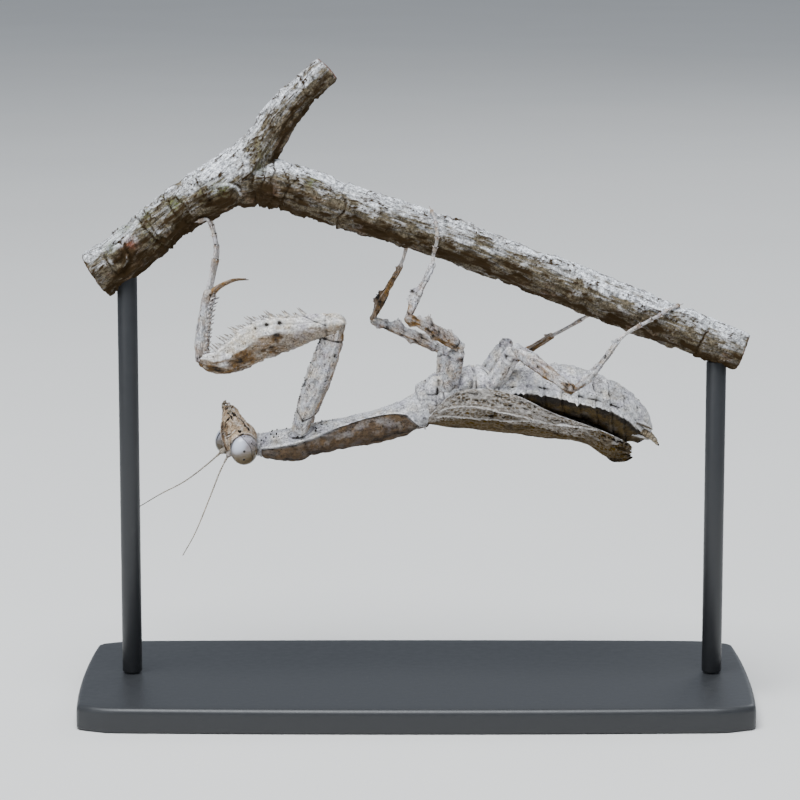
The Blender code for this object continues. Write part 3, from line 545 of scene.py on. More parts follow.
def cornea(name, colours, spots, centre, front):
    """Compound eye: clear glossy cornea over grey-lilac pigment.

    The colour runs from lilac to tan across the eye, the tan partly painted shade on its lower side,
    with faint streaks, and small black spots lie at the places in `spots` (mm).  The pale mask holds a
    painted highlight.  A fine net of facets, drawn at 0.09 mm so that it shows at all, dulls the gloss.
    """
    base, warm, pale, dark = (rgba(colours[key]) for key in ("base", "warm", "pale", "dark"))
    material, tree, shader, place, mask = new_material(name, 0.26, specular=0.4, coat=0.25, masks=MASKS)
    shader.inputs["Coat Roughness"].default_value = 0.12
    offset = add(tree, "VectorMath", (place, tuple(c * MM for c in centre)), operation="SUBTRACT")
    slope = add(tree, "VectorMath", (offset, front), "Value", operation="DOT_PRODUCT")
    drawn = add(tree, "VectorMath", (place, (0.45, 0.45, 2.0)), operation="MULTIPLY")
    streaks = add(tree, "TexNoise", {"Vector": drawn, "Scale": per_metre(0.9), "Detail": 6.0,
                                     "Roughness": 0.65})
    slope = add(tree, "MapRange", (slope, -1.9 * MM, 1.9 * MM))
    share = add(tree, "Math", (streaks, 0.55, slope), operation="MULTIPLY_ADD", use_clamp=True)
    share = add(tree, "MapRange", (share, 0.18, 0.98))
    share = add(tree, "Math", (share, mask["warm"]), operation="ADD", use_clamp=True)
    colour = add(tree, "Mix", {0: share, 6: base, 7: warm}, 2, data_type="RGBA")
    colour = add(tree, "Mix", {0: mask["pale"], 6: colour, 7: pale}, 2, data_type="RGBA")
    black = mask["dark"]
    for spot, size in spots:
        gap = add(tree, "VectorMath", (place, tuple(c * MM for c in spot)), "Value", operation="DISTANCE")
        inside = add(tree, "MapRange", (gap, size * MM, size * 1.45 * MM, 1.0, 0.0))
        black = add(tree, "Math", (black, inside), operation="MAXIMUM")
    colour = add(tree, "Mix", {0: black, 6: colour, 7: dark}, 2, data_type="RGBA")
    facets = add(tree, "TexVoronoi", {"Vector": place, "Scale": per_metre(0.09), "Randomness": 0.15})
    coat_surface(tree, shader, colour, facets, 0.12, 0.03, invert=True)
    return material


def bark(name, colours):
    """Weathered bark of a dead twig: dry and rough, grey-white on top and dark brown beneath as painted
    light and shade, with black lenticels, and moss in the cracks.  The masks are `pale` for the painted
    light on top and the pale rims of the scar and knot, `dark` for painted shade in the cracks and on the
    underside and for the knot's dark face, and `warm` for bare red-brown wood."""
    base, warm, pale, dark, moss = (rgba(colours[key]) for key in ("base", "warm", "pale", "dark", "moss"))
    material, tree, shader, place, mask = new_material(name, 0.9, specular=0.2, masks=(*MASKS, "moss"))
    mottles, fine, salt = (
        add(tree, "TexNoise", {"Vector": place, "Scale": per_metre(size), "Detail": detail,
                               "Roughness": rough})
        for size, detail, rough in ((3.0, 8.0, 0.65), (0.55, 6.0, 0.7), (0.22, 3.0, 0.7)))
    # Fibres run along the limb: the attribute `fibre` holds its length and turn in mm.
    fibre = add(tree, "Attribute", out="Vector", attribute_name="fibre")
    drawn = add(tree, "VectorMath", (fibre, (0.35, 2.4, 2.4)), operation="MULTIPLY")
    grain = add(tree, "TexNoise", {"Vector": drawn, "Scale": 1.0, "Detail": 7.0, "Roughness": 0.65})
    share = add(tree, "MapRange", (grain, 0.35, 0.65, -0.45, 0.45))
    share = add(tree, "Math", (share, mask["pale"]), operation="ADD", use_clamp=True)
    colour = add(tree, "Mix", {0: share, 6: base, 7: pale}, 2, data_type="RGBA")
    # Bare wood and moss, each broken up by a noise.
    for key, tone, noise, spread in (("warm", warm, mottles, (0.4, 0.6, -0.3, 0.3)),
                                     ("moss", moss, fine, (0.42, 0.58, -0.5, 0.5))):
        share = add(tree, "MapRange", (noise, *spread))
        share = add(tree, "Math", (share, mask[key]), operation="ADD", use_clamp=True)
        share = add(tree, "Math", (share, mask[key]), operation="MULTIPLY")
        colour = add(tree, "Mix", {0: share, 6: colour, 7: tone}, 2, data_type="RGBA")
    tone = add(tree, "MapRange", (fine, 0.36, 0.64, 0.3, 1.5))
    salt = add(tree, "MapRange", (salt, 0.36, 0.64, 0.55, 1.4))
    tone = add(tree, "Math", (tone, salt), operation="MULTIPLY")
    colour = add(tree, "VectorMath", {0: colour, "Scale": tone}, operation="SCALE")
    # Lenticels and specks of soot-coloured fungus, 0.3 to 0.5 mm across.
    spot = lucky_cells(tree, place, per_metre(0.8), 1.0, (0.14, 0.3), mottles, (0.3, 0.38))
    colour, _ = darkened(tree, colour, dark, spot, mask["dark"], grain, (0.2, 0.85),
                         (0.32, 0.68, -0.35, 0.35))
    height = add(tree, "Math", (grain, 0.8, fine), operation="MULTIPLY_ADD")
    coat_surface(tree, shader, colour, height, 0.85, 0.35)
    return material


def painted_steel(name, colour):
    """Steel with a dark satin coat: an even colour whose sheen is broken by a faint orange peel."""
    material, tree, shader, place, _ = new_material(name, 0.42)
    peel = add(tree, "TexNoise", {"Vector": place, "Scale": per_metre(1.2), "Detail": 3.0})
    sheen = add(tree, "MapRange", (peel, 0.0, 1.0, 0.34, 0.52))
    tree.links.new(sheen, shader.inputs["Roughness"])
    tint = add(tree, "MapRange", (peel, 0.0, 1.0, 0.9, 1.1))
    shade = add(tree, "VectorMath", {0: colour, "Scale": tint}, operation="SCALE")
    coat_surface(tree, shader, shade, peel, 0.12, 0.05)
    return material


def matt_backdrop(name, colour):
    """Pale matt board with a faint unevenness."""
    material, tree, shader, place, _ = new_material(name, 0.95, specular=0.1)
    drift = add(tree, "TexNoise", {"Vector": place, "Scale": per_metre(90.0), "Detail": 2.0})
    tint = add(tree, "MapRange", (drift, 0.0, 1.0, 0.97, 1.03))
    shade = add(tree, "VectorMath", {0: colour, "Scale": tint}, operation="SCALE")
    tree.links.new(shade, shader.inputs["Base Color"])
    return material


# --------------------------------------------------------------------------------- branch and stand

# Rows of (x, y, z, radius) along each limb of the forked branch.
LIMBS = {
    "left": ((-51.0, 0.5, 69.2, 4.0), (-45.1, 0.5, 73.3, 3.8), (-37.1, 0.5, 79.8, 3.6),
             (-31.5, 0.5, 83.0, 4.1), (-27.0, 0.5, 86.4, 4.0)),
    "upper": ((-27.0, 0.5, 86.4, 3.9), (-23.6, 0.6, 91.2, 3.0), (-20.0, 0.8, 96.1, 2.6),
              (-14.0, 1.4, 101.8, 2.6)),
    "right": ((-27.5, 0.5, 84.0, 3.9), (-23.6, 0.5, 83.9, 3.8), (-18.4, 0.5, 82.5, 3.7),
              (-10.5, 0.5, 79.8, 3.5), (5.4, 0.5, 74.7, 3.5), (21.3, 0.5, 68.8, 3.4),
              (37.3, 0.5, 62.4, 3.3), (52.0, 0.5, 56.6, 3.2)),
}
# Rings round the bark: (x, depth of the crack, width, part of the turn that it spans).
RINGS = {
    "left": ((-42.0, 0.5, 0.35, 1.0), (-40.9, 0.35, 0.3, 0.7), (-38.0, 0.45, 0.3, 1.0),
             (-36.4, 0.35, 0.25, 0.8), (-33.2, 0.3, 0.3, 0.5)),
    "upper": ((-17.6, 0.3, 0.35, 1.0),),
    "right": ((-25.4, 0.7, 0.4, 1.0), (-24.4, 0.5, 0.3, 0.9), (-22.9, 0.45, 0.28, 1.0),
              (-20.6, 0.55, 0.3, 1.0), (-11.6, 0.55, 0.35, 0.9), (-6.6, 0.25, 0.3, 0.5),
              (24.0, 0.25, 0.3, 0.4), (45.2, 0.4, 0.4, 0.8)),
}
# Lumps on the bark: (x, y, z, width, height), a negative height being a hollow.
LUMPS = (
    (-29.8, -3.0, 82.2, 2.1, 1.1), (-28.0, -3.6, 80.4, 1.2, -0.5), (-16.3, -1.6, 101.4, 1.0, 1.0),
    (24.8, -2.7, 65.6, 0.95, 0.9), (24.8, -3.5, 65.5, 0.4, -1.6), (-26.5, -3.2, 86.0, 2.0, 0.4),
    (8.4, -1.0, 77.2, 1.6, 0.35), (43.9, -1.5, 62.3, 1.4, 0.6), (-43.4, -2.6, 76.2, 1.6, 0.5),
)
# Places on the bark, as (x, y, z), with a reach where a fourth number follows.
MOSS = ((-31.9, -3.0, 83.6, 1.1), (-48.5, -2.4, 74.2, 1.5), (-38.2, -2.6, 81.0, 1.6),
        (-25.2, -1.0, 89.2, 2.0), (-24.4, -3.2, 86.2, 1.3), (-30.6, -3.6, 83.4, 1.4),
        (-16.3, -2.4, 84.4, 1.0), (-46.3, -1.0, 77.0, 1.8), (-42.8, -1.2, 79.0, 1.4))
CROTCH = (-29.5, -2.0, 87.0, 3.6)      # inner corner of the fork
KNOT = (-29.8, -3.6, 82.2)             # below the fork
SCAR = (-47.0, -3.6, 72.3)             # torn plate near the left end
BARE_PATCHES = ((-45.3, -3.3, 74.3, 1.9, 0.95), (-23.2, -3.2, 82.0, 2.2, 0.8))    # and a strength
BARK_VOXEL = 0.24 * MM
ROD_SIDES = 40


def limb_path(limb):
    """Rows of (x, y, z, radius) along a limb at even steps."""
    return even_rows(LIMBS[limb], 160)


def run_along(path):
    """Length in mm from the start of a path to each of its rows."""
    return travelled(path[:, :3]) * path_length(path[:, :3])


def spot_at(points, place, reach):
    """Bell curve of the distance from a place."""
    return bell(np.linalg.norm(points - place, axis=1), reach)


def near_limb(points, path):
    """For each point: the nearest place on a path, and its distance from there in radii."""
    gap = np.linalg.norm(points[:, None] - path[None, ::4, :3], axis=2) / path[None, ::4, 3]
    index = gap.argmin(1) * 4
    return index, gap.min(1)


def build_branch(look, relief):
    """Forked branch as one skin: three tubes fused by a voxel grid and smoothed at the fork, then
    pushed in and out by bark: long fissures, flaking plates, ring cracks, lumps and knots."""
    shells = [Skin([(x, y, z, r, r, r) for x, y, z, r in LIMBS[limb]],
                   UP if limb != "upper" else (-1, 0, 0.5),
                   90, 40, ends, cap=2).shell()
              for limb, ends in (("left", (0.25, 1.5)), ("right", (0.5, 0.25)), ("upper", (0.5, 0.25)))]
    points, quads, tris = joined(shells)
    rough = bpy.data.meshes.new("branch_core")
    rough.from_pydata(points.tolist(), [], quads.tolist() + tris.tolist())
    core = bpy.data.objects.new("branch_core", rough)
    bpy.context.scene.collection.objects.link(core)
    fuse = core.modifiers.new("fuse", "REMESH")
    fuse.mode = "VOXEL"
    fuse.voxel_size = BARK_VOXEL
    even = core.modifiers.new("even", "SMOOTH")
    even.factor = 0.5
    even.iterations = 10
    bpy.context.view_layer.update()
    mesh = bpy.data.meshes.new_from_object(core.evaluated_get(bpy.context.evaluated_depsgraph_get()))
    bpy.data.objects.remove(core)
    bpy.data.meshes.remove(rough)
    mesh.name = "forked_branch"

    count = len(mesh.vertices)
    points = np.empty(count * 3, np.float32)
    normals = np.empty(count * 3, np.float32)
    mesh.vertices.foreach_get("co", points)
    mesh.vertex_normals.foreach_get("vector", normals)
    points, normals = points.reshape(-1, 3).astype(float) / MM, normals.reshape(-1, 3).astype(float)

    # Length and turn round the nearest limb, in mm, which the fibres and cracks follow.
    paths = {limb: limb_path(limb) for limb in LIMBS}
    nearest = {limb: near_limb(points, path) for limb, path in paths.items()}
    names = list(LIMBS)
    owner = np.stack([nearest[limb][1] for limb in names]).argmin(0)
    along, turn, radius = np.zeros(count), np.zeros(count), np.ones(count)
    for number, limb in enumerate(names):
        mine = owner == number
        index = nearest[limb][0][mine]
        path = paths[limb]
        tangent = unit(np.gradient(path[:, :3], axis=0))[index]
        offset = points[mine] - path[index, :3]
        reach = (offset * tangent).sum(1)
        side = unit(np.cross(np.array(UP), tangent))
        top = np.cross(tangent, side)
        along[mine] = run_along(path)[index] + reach
        turn[mine] = np.arctan2((offset * top).sum(1), (offset * side).sum(1))
        radius[mine] = path[index, 3]

    # Round the limb a pattern runs on a circle, so that it has no seam.
    fibre = np.stack((along + 40 * owner, np.cos(turn) * radius, np.sin(turn) * radius), 1)
    fissure = 1 - np.abs(wander(fibre * (0.22, 1.5, 1.5), 1.0, 3, 3))
    lumpy = wander(points, 1.7, 5, 4)
    plates = smoothstep(wander(fibre * (0.12, 0.42, 0.42), 1.0, 9, 2) + 0.25 * wander(points, 0.9, 10, 2),
                        -0.02, 0.10)
    edge = 4 * plates * (1 - plates)
    amount = relief * (0.40 * (fissure - 0.75) + 0.18 * lumpy + 0.34 * (plates - 0.5))
    # Painted shade in the fissures, and painted shadow along the edges of the flaking plates.
    dark = 0.90 * smoothstep(fissure, 0.84, 0.98) + 0.9 * edge * smoothstep(lumpy, -0.6, 0.4)
    moss = np.zeros(count)
    for number, limb in enumerate(names):
        for place, depth, width, span in RINGS[limb]:
            path = paths[limb]
            start = np.interp(place, path[:, 0], run_along(path))
            swing = wander(np.stack((np.cos(turn), np.sin(turn), 0 * turn + place), 1), 0.7, 21, 3)
            gap = along - start - 0.9 * swing
            limit = math.cos(math.pi * span)
            arc = smoothstep(np.cos(turn + place), limit - 0.25, limit + 0.1) * (owner == number)
            crack = bell(gap, width * 0.55) * arc
            lip = bell(gap - width * 1.2, width * 0.8) * arc
            amount = amount + depth * relief * (0.35 * lip - 0.75 * crack)
            # Painted shade in the ring crack.
            dark = np.maximum(dark, crack)
            if limb == "left":
                moss = np.maximum(moss, 0.5 * bell(gap + width, width * 1.6) * arc)
    for x, y, z, width, height in LUMPS:
        bump = spot_at(points, (x, y, z), width)
        amount = amount + relief * height * bump
        # Painted shade in the hollows.
        dark = dark + (0.8 * bump if height < 0 else 0.0)
    for x, y, z, width in MOSS:
        moss = np.maximum(moss, spot_at(points, (x, y, z), width))
    # A torn scar, nearly square: a raised plate with a pale rim inside a dark crack.
    away = points - SCAR
    square = (np.abs(away @ (0.8, 0.0, 0.6) / 1.5) ** 3
              + np.abs(away @ (-0.6, 0.0, 0.8) / 1.8) ** 3) ** (1 / 3)
    square = square + 0.26 * wander(points, 1.4, 13, 3) + 9.0 * (points[:, 1] > 0)
    amount = amount + relief * (0.35 * smoothstep(1.0 - square, 0.0, 0.15) - 0.45 * bell(square - 1.2, 0.12)
                                - 0.5 * bell(square - 0.35, 0.2))
    torn = smoothstep(wander(points, 1.6, 16, 2), -0.25, 0.2)
    scar_rim = bell(square - 0.85, 0.11) * torn
    scar_crack = np.maximum(bell(square - 1.18, 0.1) * (0.4 + 0.6 * torn), 0.8 * bell(square - 0.3, 0.22))
    # The knot below the fork: a dark brown face with a pale edge above.
    knot = np.linalg.norm((points - KNOT) * (1.0, 0.8, 1.25), axis=1)
    knot_edge = (bell(knot - 2.3, 0.22) * smoothstep(points[:, 2] + 0.4 * points[:, 0], 70.6, 71.8)
                 * (points[:, 1] < 0))
    knot_crack = (bell(knot - 2.75, 0.22) * (points[:, 1] < 0)
                  * smoothstep(wander(points, 1.5, 14, 2), -0.4, 0.2))
    amount = amount + relief * (0.3 * knot_edge - 0.5 * knot_crack)
    # Painted shade in the cracks round the scar and the knot.
    dark = np.maximum.reduce((dark, scar_crack, 0.9 * knot_crack))
    ends = cut_end_share(points, paths)
    amount = amount * (1 - 0.8 * ends) * (1 - 0.6 * spot_at(points, CROTCH[:3], CROTCH[3]))
    points = points + normals * amount[:, None]
    mesh.vertices.foreach_set("co", (points * MM).astype(np.float32).ravel())

    # Pale on top and dark below, by the way each point faces: painted light above and painted shade beneath.
    streaky = wander(fibre * (0.16, 1.1, 1.1), 1.0, 12, 3)
    top = normals[:, 2] + 0.35 * lumpy + 0.30 * streaky
    pale = smoothstep(top + 0.5 * spot_at(points, CROTCH[:3], CROTCH[3]), 0.22, 0.8) * (0.7 + 0.3 * plates)
    under = 1 - smoothstep(top - 0.22 * smoothstep(-points[:, 0], 34.0, 42.0), -0.55, 0.42)
    flecks = smoothstep(wander(fibre * (0.3, 1.0, 1.0), 1.0, 15, 3), -0.05, 0.35)
    dark = np.maximum(dark * 0.95, (0.86 - 0.52 * flecks) * under + 0.15 * fissure * under)
    dark = np.clip(dark + 0.35 * smoothstep(1.9 - knot, 0.0, 0.8) - 0.8 * scar_rim - 0.9 * knot_edge, 0, 1)
    pale = np.clip(pale + 0.40 * scar_rim + 0.7 * knot_edge - 0.5 * smoothstep(2.0 - knot, 0.0, 0.5), 0, 1)
    bare = [strength * spot_at(points, place, reach) for *place, reach, strength in BARE_PATCHES]
    warm = np.maximum.reduce((*bare, 0.9 * ends, 0.45 * under * smoothstep(lumpy, 0, 0.5)))
    for name, values in (("pale", pale * (1 - 0.7 * ends)), ("dark", dark), ("warm", warm),
                         ("moss", moss * 0.8)):
        values = np.clip(values, 0, 1).astype(np.float32)
        mesh.attributes.new(name, "FLOAT", "POINT").data.foreach_set("value", values)
    vectors = mesh.attributes.new("fibre", "FLOAT_VECTOR", "POINT").data
    vectors.foreach_set("vector", fibre.astype(np.float32).ravel())
    mesh.shade_smooth()
    return finish_piece("forked_branch", mesh, look, ("perch_left", "perch_right", "perch_upper"))


def cut_end_share(points, paths):
    """1 on the sawn ends of the branch and 0 elsewhere."""
    share = np.zeros(len(points))
    for limb, end in (("left", 0), ("right", -1), ("upper", -1)):
        path = paths[limb]
        tangent = unit(path[1, :3] - path[0, :3]) if end == 0 else unit(path[-2, :3] - path[-1, :3])
        depth = (points - path[end, :3]) @ tangent
        share = np.maximum(share, (1 - smoothstep(depth, -0.12, 0.1))
                           * (np.linalg.norm(points - path[end, :3], axis=1) < path[end, 3] * 1.4))
    return share


def rounded_slab(low, high, rounding, bottom_rounding):
    """Slab with rounded edges: its outline is a rounded rectangle, and up its side the outline draws in
    on a quarter circle at the bottom and the top, then runs flat to the middle."""
    middle, half = (low + high) / 2, (high - low) / 2
    count, steps, corner = 160, 7, 3.0      # points round the outline, rings up an edge, corner radius
    turns = np.arange(count) * TAU / count
    flat_rings = (0.03, 0.5, 0.9)      # parts of the way from the middle to the edge
    spread = np.stack((np.cos(turns), np.sin(turns)), 1)
    square = np.sign(spread) * np.minimum(1, np.abs(spread) * 1.35)
    outline = (half[:2] - corner) * square + corner * spread
    inward = np.sign(outline) * np.abs(spread)
    quarter = np.linspace(0, QUARTER, steps)
    draw_in, turn_out = 1 - np.cos(quarter), 1 - np.sin(quarter)
    inset = np.concatenate((bottom_rounding * turn_out, rounding * draw_in))
    height = np.concatenate((low[2] + bottom_rounding * draw_in, high[2] - rounding * turn_out))
    rings = [(share, 0.0, low[2]) for share in flat_rings]
    rings += [(1.0, pull, level) for pull, level in zip(inset, height)]
    rings += [(share, rounding, high[2]) for share in flat_rings[::-1]]
    grid = np.array([np.column_stack((middle[:2] + share * (outline - inward * pull),
                                      np.full(count, level)))
                     for share, pull, level in rings])
    return ring_shell(grid, middle)


def ring_shell(grid, inside):
    """Shell of rings that are closed by a point at the middle of the first and the last."""
    skin = Skin.__new__(Skin)
    skin.grid = grid
    skin.centres = np.broadcast_to(np.asarray(inside, float), grid.shape)
    skin.poles = np.array((grid[0].mean(0), grid[-1].mean(0)))
    skin.masks = {name: np.zeros(grid.shape[:2]) for name in MASKS}
    return skin.shell()


def build_stand(look):
    """Base: a slab with softly rounded edges.  Rods: round bars with a small bevel at the foot, each
    the size of its CAD rod and reaching up into the branch."""
    low, high = (np.array(corner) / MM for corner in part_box("stand_base"))
    make_piece("base_slab", [rounded_slab(low, high, 1.0, 0.5)], look, ("stand_base",),
               smooth_angle=60)
    for side in ("left", "right"):
        low, high = (np.array(corner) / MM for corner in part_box(f"stand_rod_{side}"))
        middle, radius = (low + high) / 2, (high[0] - low[0]) / 2
        levels = np.array((low[2], low[2], low[2] + 0.25, high[2] - 0.2, high[2]))
        widths = np.array((0.5, 0.88, 1.0, 1.0, 0.9)) * radius
        turns = np.arange(ROD_SIDES) * TAU / ROD_SIDES
        circle = np.column_stack((np.cos(turns), np.sin(turns), 0 * turns))
        grid = np.stack([middle * (1, 1, 0) + width * circle + (0, 0, level)
                         for width, level in zip(widths, levels)])
        make_piece(f"rod_{side}", [ring_shell(grid, middle)], look, (f"stand_rod_{side}",))


# --------------------------------------------------------------------------------------- the trunk

# x, y, z of the side margin, half width, rise (belly) and drop (back).
PROTHORAX = (
    (-24.6, 0.0, 41.5, 1.8, 2.0, 2.1), (-22.6, 0.0, 41.8, 2.2, 2.2, 2.6), (-20.0, 0.0, 42.4, 2.7, 1.9, 3.2),
    (-17.8, 0.0, 43.0, 2.9, 1.9, 3.2), (-15.0, 0.0, 44.0, 2.4, 1.5, 3.4), (-11.0, 0.0, 45.3, 2.1, 0.9, 3.9),
    (-6.4, 0.0, 46.4, 2.05, 0.9, 4.1), (-3.0, 0.0, 46.9, 2.2, 1.8, 3.9), (1.8, 0.0, 46.6, 2.8, 4.9, 2.2),
)
PTEROTHORAX = (
    (1.0, 0.0, 47.3, 2.5, 4.2, 1.3), (5.0, 0.0, 48.2, 3.0, 5.2, 2.0), (9.5, 0.0, 48.7, 3.4, 5.6, 2.8),
    (12.6, 0.0, 48.8, 3.5, 4.8, 3.1), (15.4, 0.0, 49.4, 3.3, 4.0, 3.4),
)
ABDOMEN = (
    (12.8, 0.0, 50.5, 3.3, 3.3, 4.2), (17.0, 0.0, 51.3, 4.0, 3.5, 4.6), (21.8, 0.0, 50.7, 4.7, 4.1, 4.0),
    (26.0, 0.0, 49.6, 4.8, 4.4, 3.5), (30.0, 0.0, 48.7, 4.4, 3.7, 3.6), (33.4, 0.0, 47.1, 3.5, 2.9, 4.6),
    (35.4, 0.0, 45.2, 2.5, 2.3, 4.0), (36.6, 0.0, 44.1, 1.5, 1.5, 2.5),
)
NECK = ((-27.2, 0.3, 42.4, 1.2, 1.4, 1.4), (-25.8, 0.2, 41.9, 1.4, 1.8, 1.8),
        (-23.8, 0.0, 41.5, 1.7, 1.9, 2.0))
SEGMENTS = (17.6, 20.4, 23.2, 26.0, 28.6, 31.0, 33.2)    # x of the rear edge of each belly plate
# Bulges under the leg bases: x, turn from the side, half length, height.
BULGES = (
    (3.0, 0.95, 1.35, 0.95), (5.2, 0.50, 1.4, 0.60), (7.9, 0.78, 0.8, 0.50), (10.4, 0.80, 0.95, 0.85),
    (9.4, 1.25, 1.9, 0.50), (12.9, 0.35, 1.2, 0.50),
)
# Grooves between the breast plates: x, slant, width.
PLATE_GROOVES = ((3.3, 0.5, 0.2), (4.6, -1.2, 0.18), (8.6, 0.9, 0.24), (9.8, -0.8, 0.16), (13.0, 0.6, 0.2))
# Valves of the tail: root (x, y, z), length, thickness and droop.
VALVES = (
    (36.0, 0.0, 45.6, 1.6, 0.8, 0.35), (36.0, 0.0, 43.2, 1.4, 0.7, 0.35), (34.5, -2.1, 46.2, 3.2, 0.7, 1.6),
    (34.5, 2.1, 46.2, 3.2, 0.7, 1.6), (34.6, -1.6, 43.6, 2.5, 0.55, 0.8), (34.6, 1.6, 43.6, 2.5, 0.55, 0.8),
)
TAIL_SPINES = ((35.6, -1.6, 46.6), (36.4, -1.3, 45.6), (36.7, -0.9, 43.6), (35.6, 1.6, 46.6),
               (36.4, 1.3, 45.6), (36.9, 0.2, 42.8))


def build_neck(look):
    """Neck: a short soft tube with ring folds, each fold a bell-shaped groove."""
    skin = Skin(NECK, UP, 60, 72)
    folds = sum(bell(skin.t - place - 0.02 * np.sin(3 * skin.angle + place * 9), 0.035)
                for place in (0.2, 0.36, 0.52, 0.7, 0.86))
    skin.push(-0.16 * folds + 0.06 * wander(skin.grid, 0.8, 31, 3))
    # Painted shade in the folds.
    skin.paint(dark=0.35 * folds,
               warm=np.where(np.sin(skin.angle) < -0.2, 0.5, 0.15) * np.ones_like(folds), pale=0.2)
    make_piece("neck_skin", [skin.shell()], look, ("neck",))


def build_prothorax(look):
    """Prothorax: the back shield (below) meets the breast plate (above) at a thin toothed margin.

    The margin is a bell-shaped flange at the two side angles, cut into small teeth by a wave of random
    height.  A groove runs just above it.  The back has a low keel and a cross furrow over the leg
    bases, and the breast has two shallow folds where the fore coxae sit.
    """
    skin = Skin(PROTHORAX, UP, 300, 132, (0.5, 0.8))
    x = skin.grid[..., 0]
    # The margin rises a little in the middle and drops to the wing root behind.
    tilt = 0.42 * bell(x + 7.0, 4.5) - 1.15 * smoothstep(x, -1.8, 2.4)
    above = (np.where(np.cos(skin.angle) > 0, turn_gap(skin.angle, 0.0), -turn_gap(skin.angle, math.pi))
             - tilt)
    for centre in (0.0, math.pi):
        gap = turn_gap(skin.angle, centre)
        lean = (gap if centre == 0.0 else -gap) - tilt
        comb = np.sin(x * 13)
        teeth = 0.5 + 0.5 * np.sign(comb) * np.abs(comb) ** 0.6
        height = 0.16 + 0.24 * teeth * smoothstep(streaks_of(x, 0.6, 41), -0.5, 0.4)
        flange = bell(lean, 0.085)
        skin.lift(0.0, sideways=np.cos(centre) * flange * height)
        groove = bell(lean - 0.24, 0.12)
        under = bell(lean + 0.13, 0.055)
        skin.push(-0.12 * groove - 0.10 * under)
        # Painted shadow in a line beneath the margin, and a little painted shade in the groove above it.
        skin.paint(dark=0.55 * under + 0.12 * groove, pale=1.0 * bell(lean - 0.02, 0.06))
    back = smoothstep(-above, 0.05, 0.22)
    keel = bell(turn_gap(skin.angle, -QUARTER), 0.10)
    furrow = bell(x + 17.2 + 0.4 * np.cos(2 * skin.angle), 0.35) * back
    skin.push(0.22 * keel * smoothstep(x, -24, -20) - 0.18 * furrow)
    ripples = wander(skin.grid * (0.5, 1, 1), 0.7, 43, 3)
    skin.push((0.12 * ripples + 0.10 * wander(skin.grid, 1.8, 44, 2)) * (0.8 + 0.4 * back))
    # Seats of the fore coxae, each with a sunken rim.
    from_seat = np.abs(turn_gap(skin.angle, QUARTER)) - 0.75
    seat = bell(x + 18.4, 2.4) * bell(from_seat, 0.35)
    rim = bell(np.sqrt(((x + 18.4) / 2.0) ** 2 + (from_seat / 0.5) ** 2) - 1, 0.14)
    skin.push(0.25 * seat - 0.16 * rim * (1 - back))
    collar = bell(x - 0.6, 0.35)
    skin.push(0.14 * collar)
    belly_fold = bell(x + 6.5 + 0.8 * np.sin(2 * skin.angle), 0.25) * (1 - back) * 0.6
    blotches = smoothstep(wander(skin.grid, 2.6, 47, 3), 0.05, 0.5)
    low = smoothstep(-np.sin(skin.angle), 0.55, 0.85)      # lower half of the back shield
    shadow = smoothstep(wander(skin.grid * (0.35, 1, 1), 1.0, 48, 3), 0.1, 0.6)
    band = bell(-above - 0.55, 0.22) * smoothstep(x, -19.0, -12.0)      # a lighter streak
    skin.push(-0.40 * smoothstep(x, -1.4, 0.6) * smoothstep(-np.sin(skin.angle), 0.1, 0.8))
    # The back is brown; its darkening, strongest on its lower half, is painted shade, and so are the dark
    # sunken rims of the coxa seats, the cross furrow and the fold across the breast.
    skin.paint(
        warm=back * (0.86 + 0.30 * low + 0.10 * blotches - 0.14 * band) + 0.10,
        dark=back * (0.12 + 0.20 * low + 0.40 * shadow * (1 - 0.5 * band)) + 0.6 * rim * (1 - back)
        + 0.35 * belly_fold + 0.35 * furrow
        + 0.35 * smoothstep(wander(skin.grid * (0.5, 1.0, 1.0), 0.8, 49, 2), 0.42, 0.7) * (1 - back),
        pale=0.35 * (1 - back) * smoothstep(ripples, 0.0, 0.5) + 0.5 * collar,
    )
    warts = scatter_grains(skin, 110, 52, lambda t, a: (np.sin(a) > 0.35) & (t < 0.42), 0.12, 0.22,
                           height=1.2)
    grains = scatter_grains(skin, 260, 51, lambda t, a: (np.sin(a) > 0.05) | (np.sin(a) < -0.3), 0.05, 0.11)
    stay_put("prothorax", skin.grid.reshape(-1, 3), "prothorax", 0.6)
    make_piece("prothorax_shield", [skin.shell(), grains, warts], look, ("prothorax",))


def scatter_grains(skin, count, seed, allowed, small, large, height=1.1):
    """Blunt grains and tiny warts scattered over a skin where `allowed` says so of t and the angle."""
    random = np.random.default_rng(seed)
    rings, sides = skin.grid.shape[:2]
    ring, side = random.integers(6, rings - 6, count * 3), random.integers(0, sides, count * 3)
    t, angle = skin.t[ring, 0], skin.angle[0, side]
    keep = np.flatnonzero(allowed(t, angle))[:count]
    ring, side = ring[keep], side[keep]
    roots, normals = skin.grid[ring, side], skin.normals()[ring, side]
    size = random.uniform(small, large, len(ring))
    tips = roots + normals * (size * height)[:, None]
    shell = spines(roots - normals * 0.05, tips, size, dark_from=2.0, sides=5)
    shell["masks"]["pale"][:], shell["masks"]["warm"][:] = 0.7, 0.0
    return shell


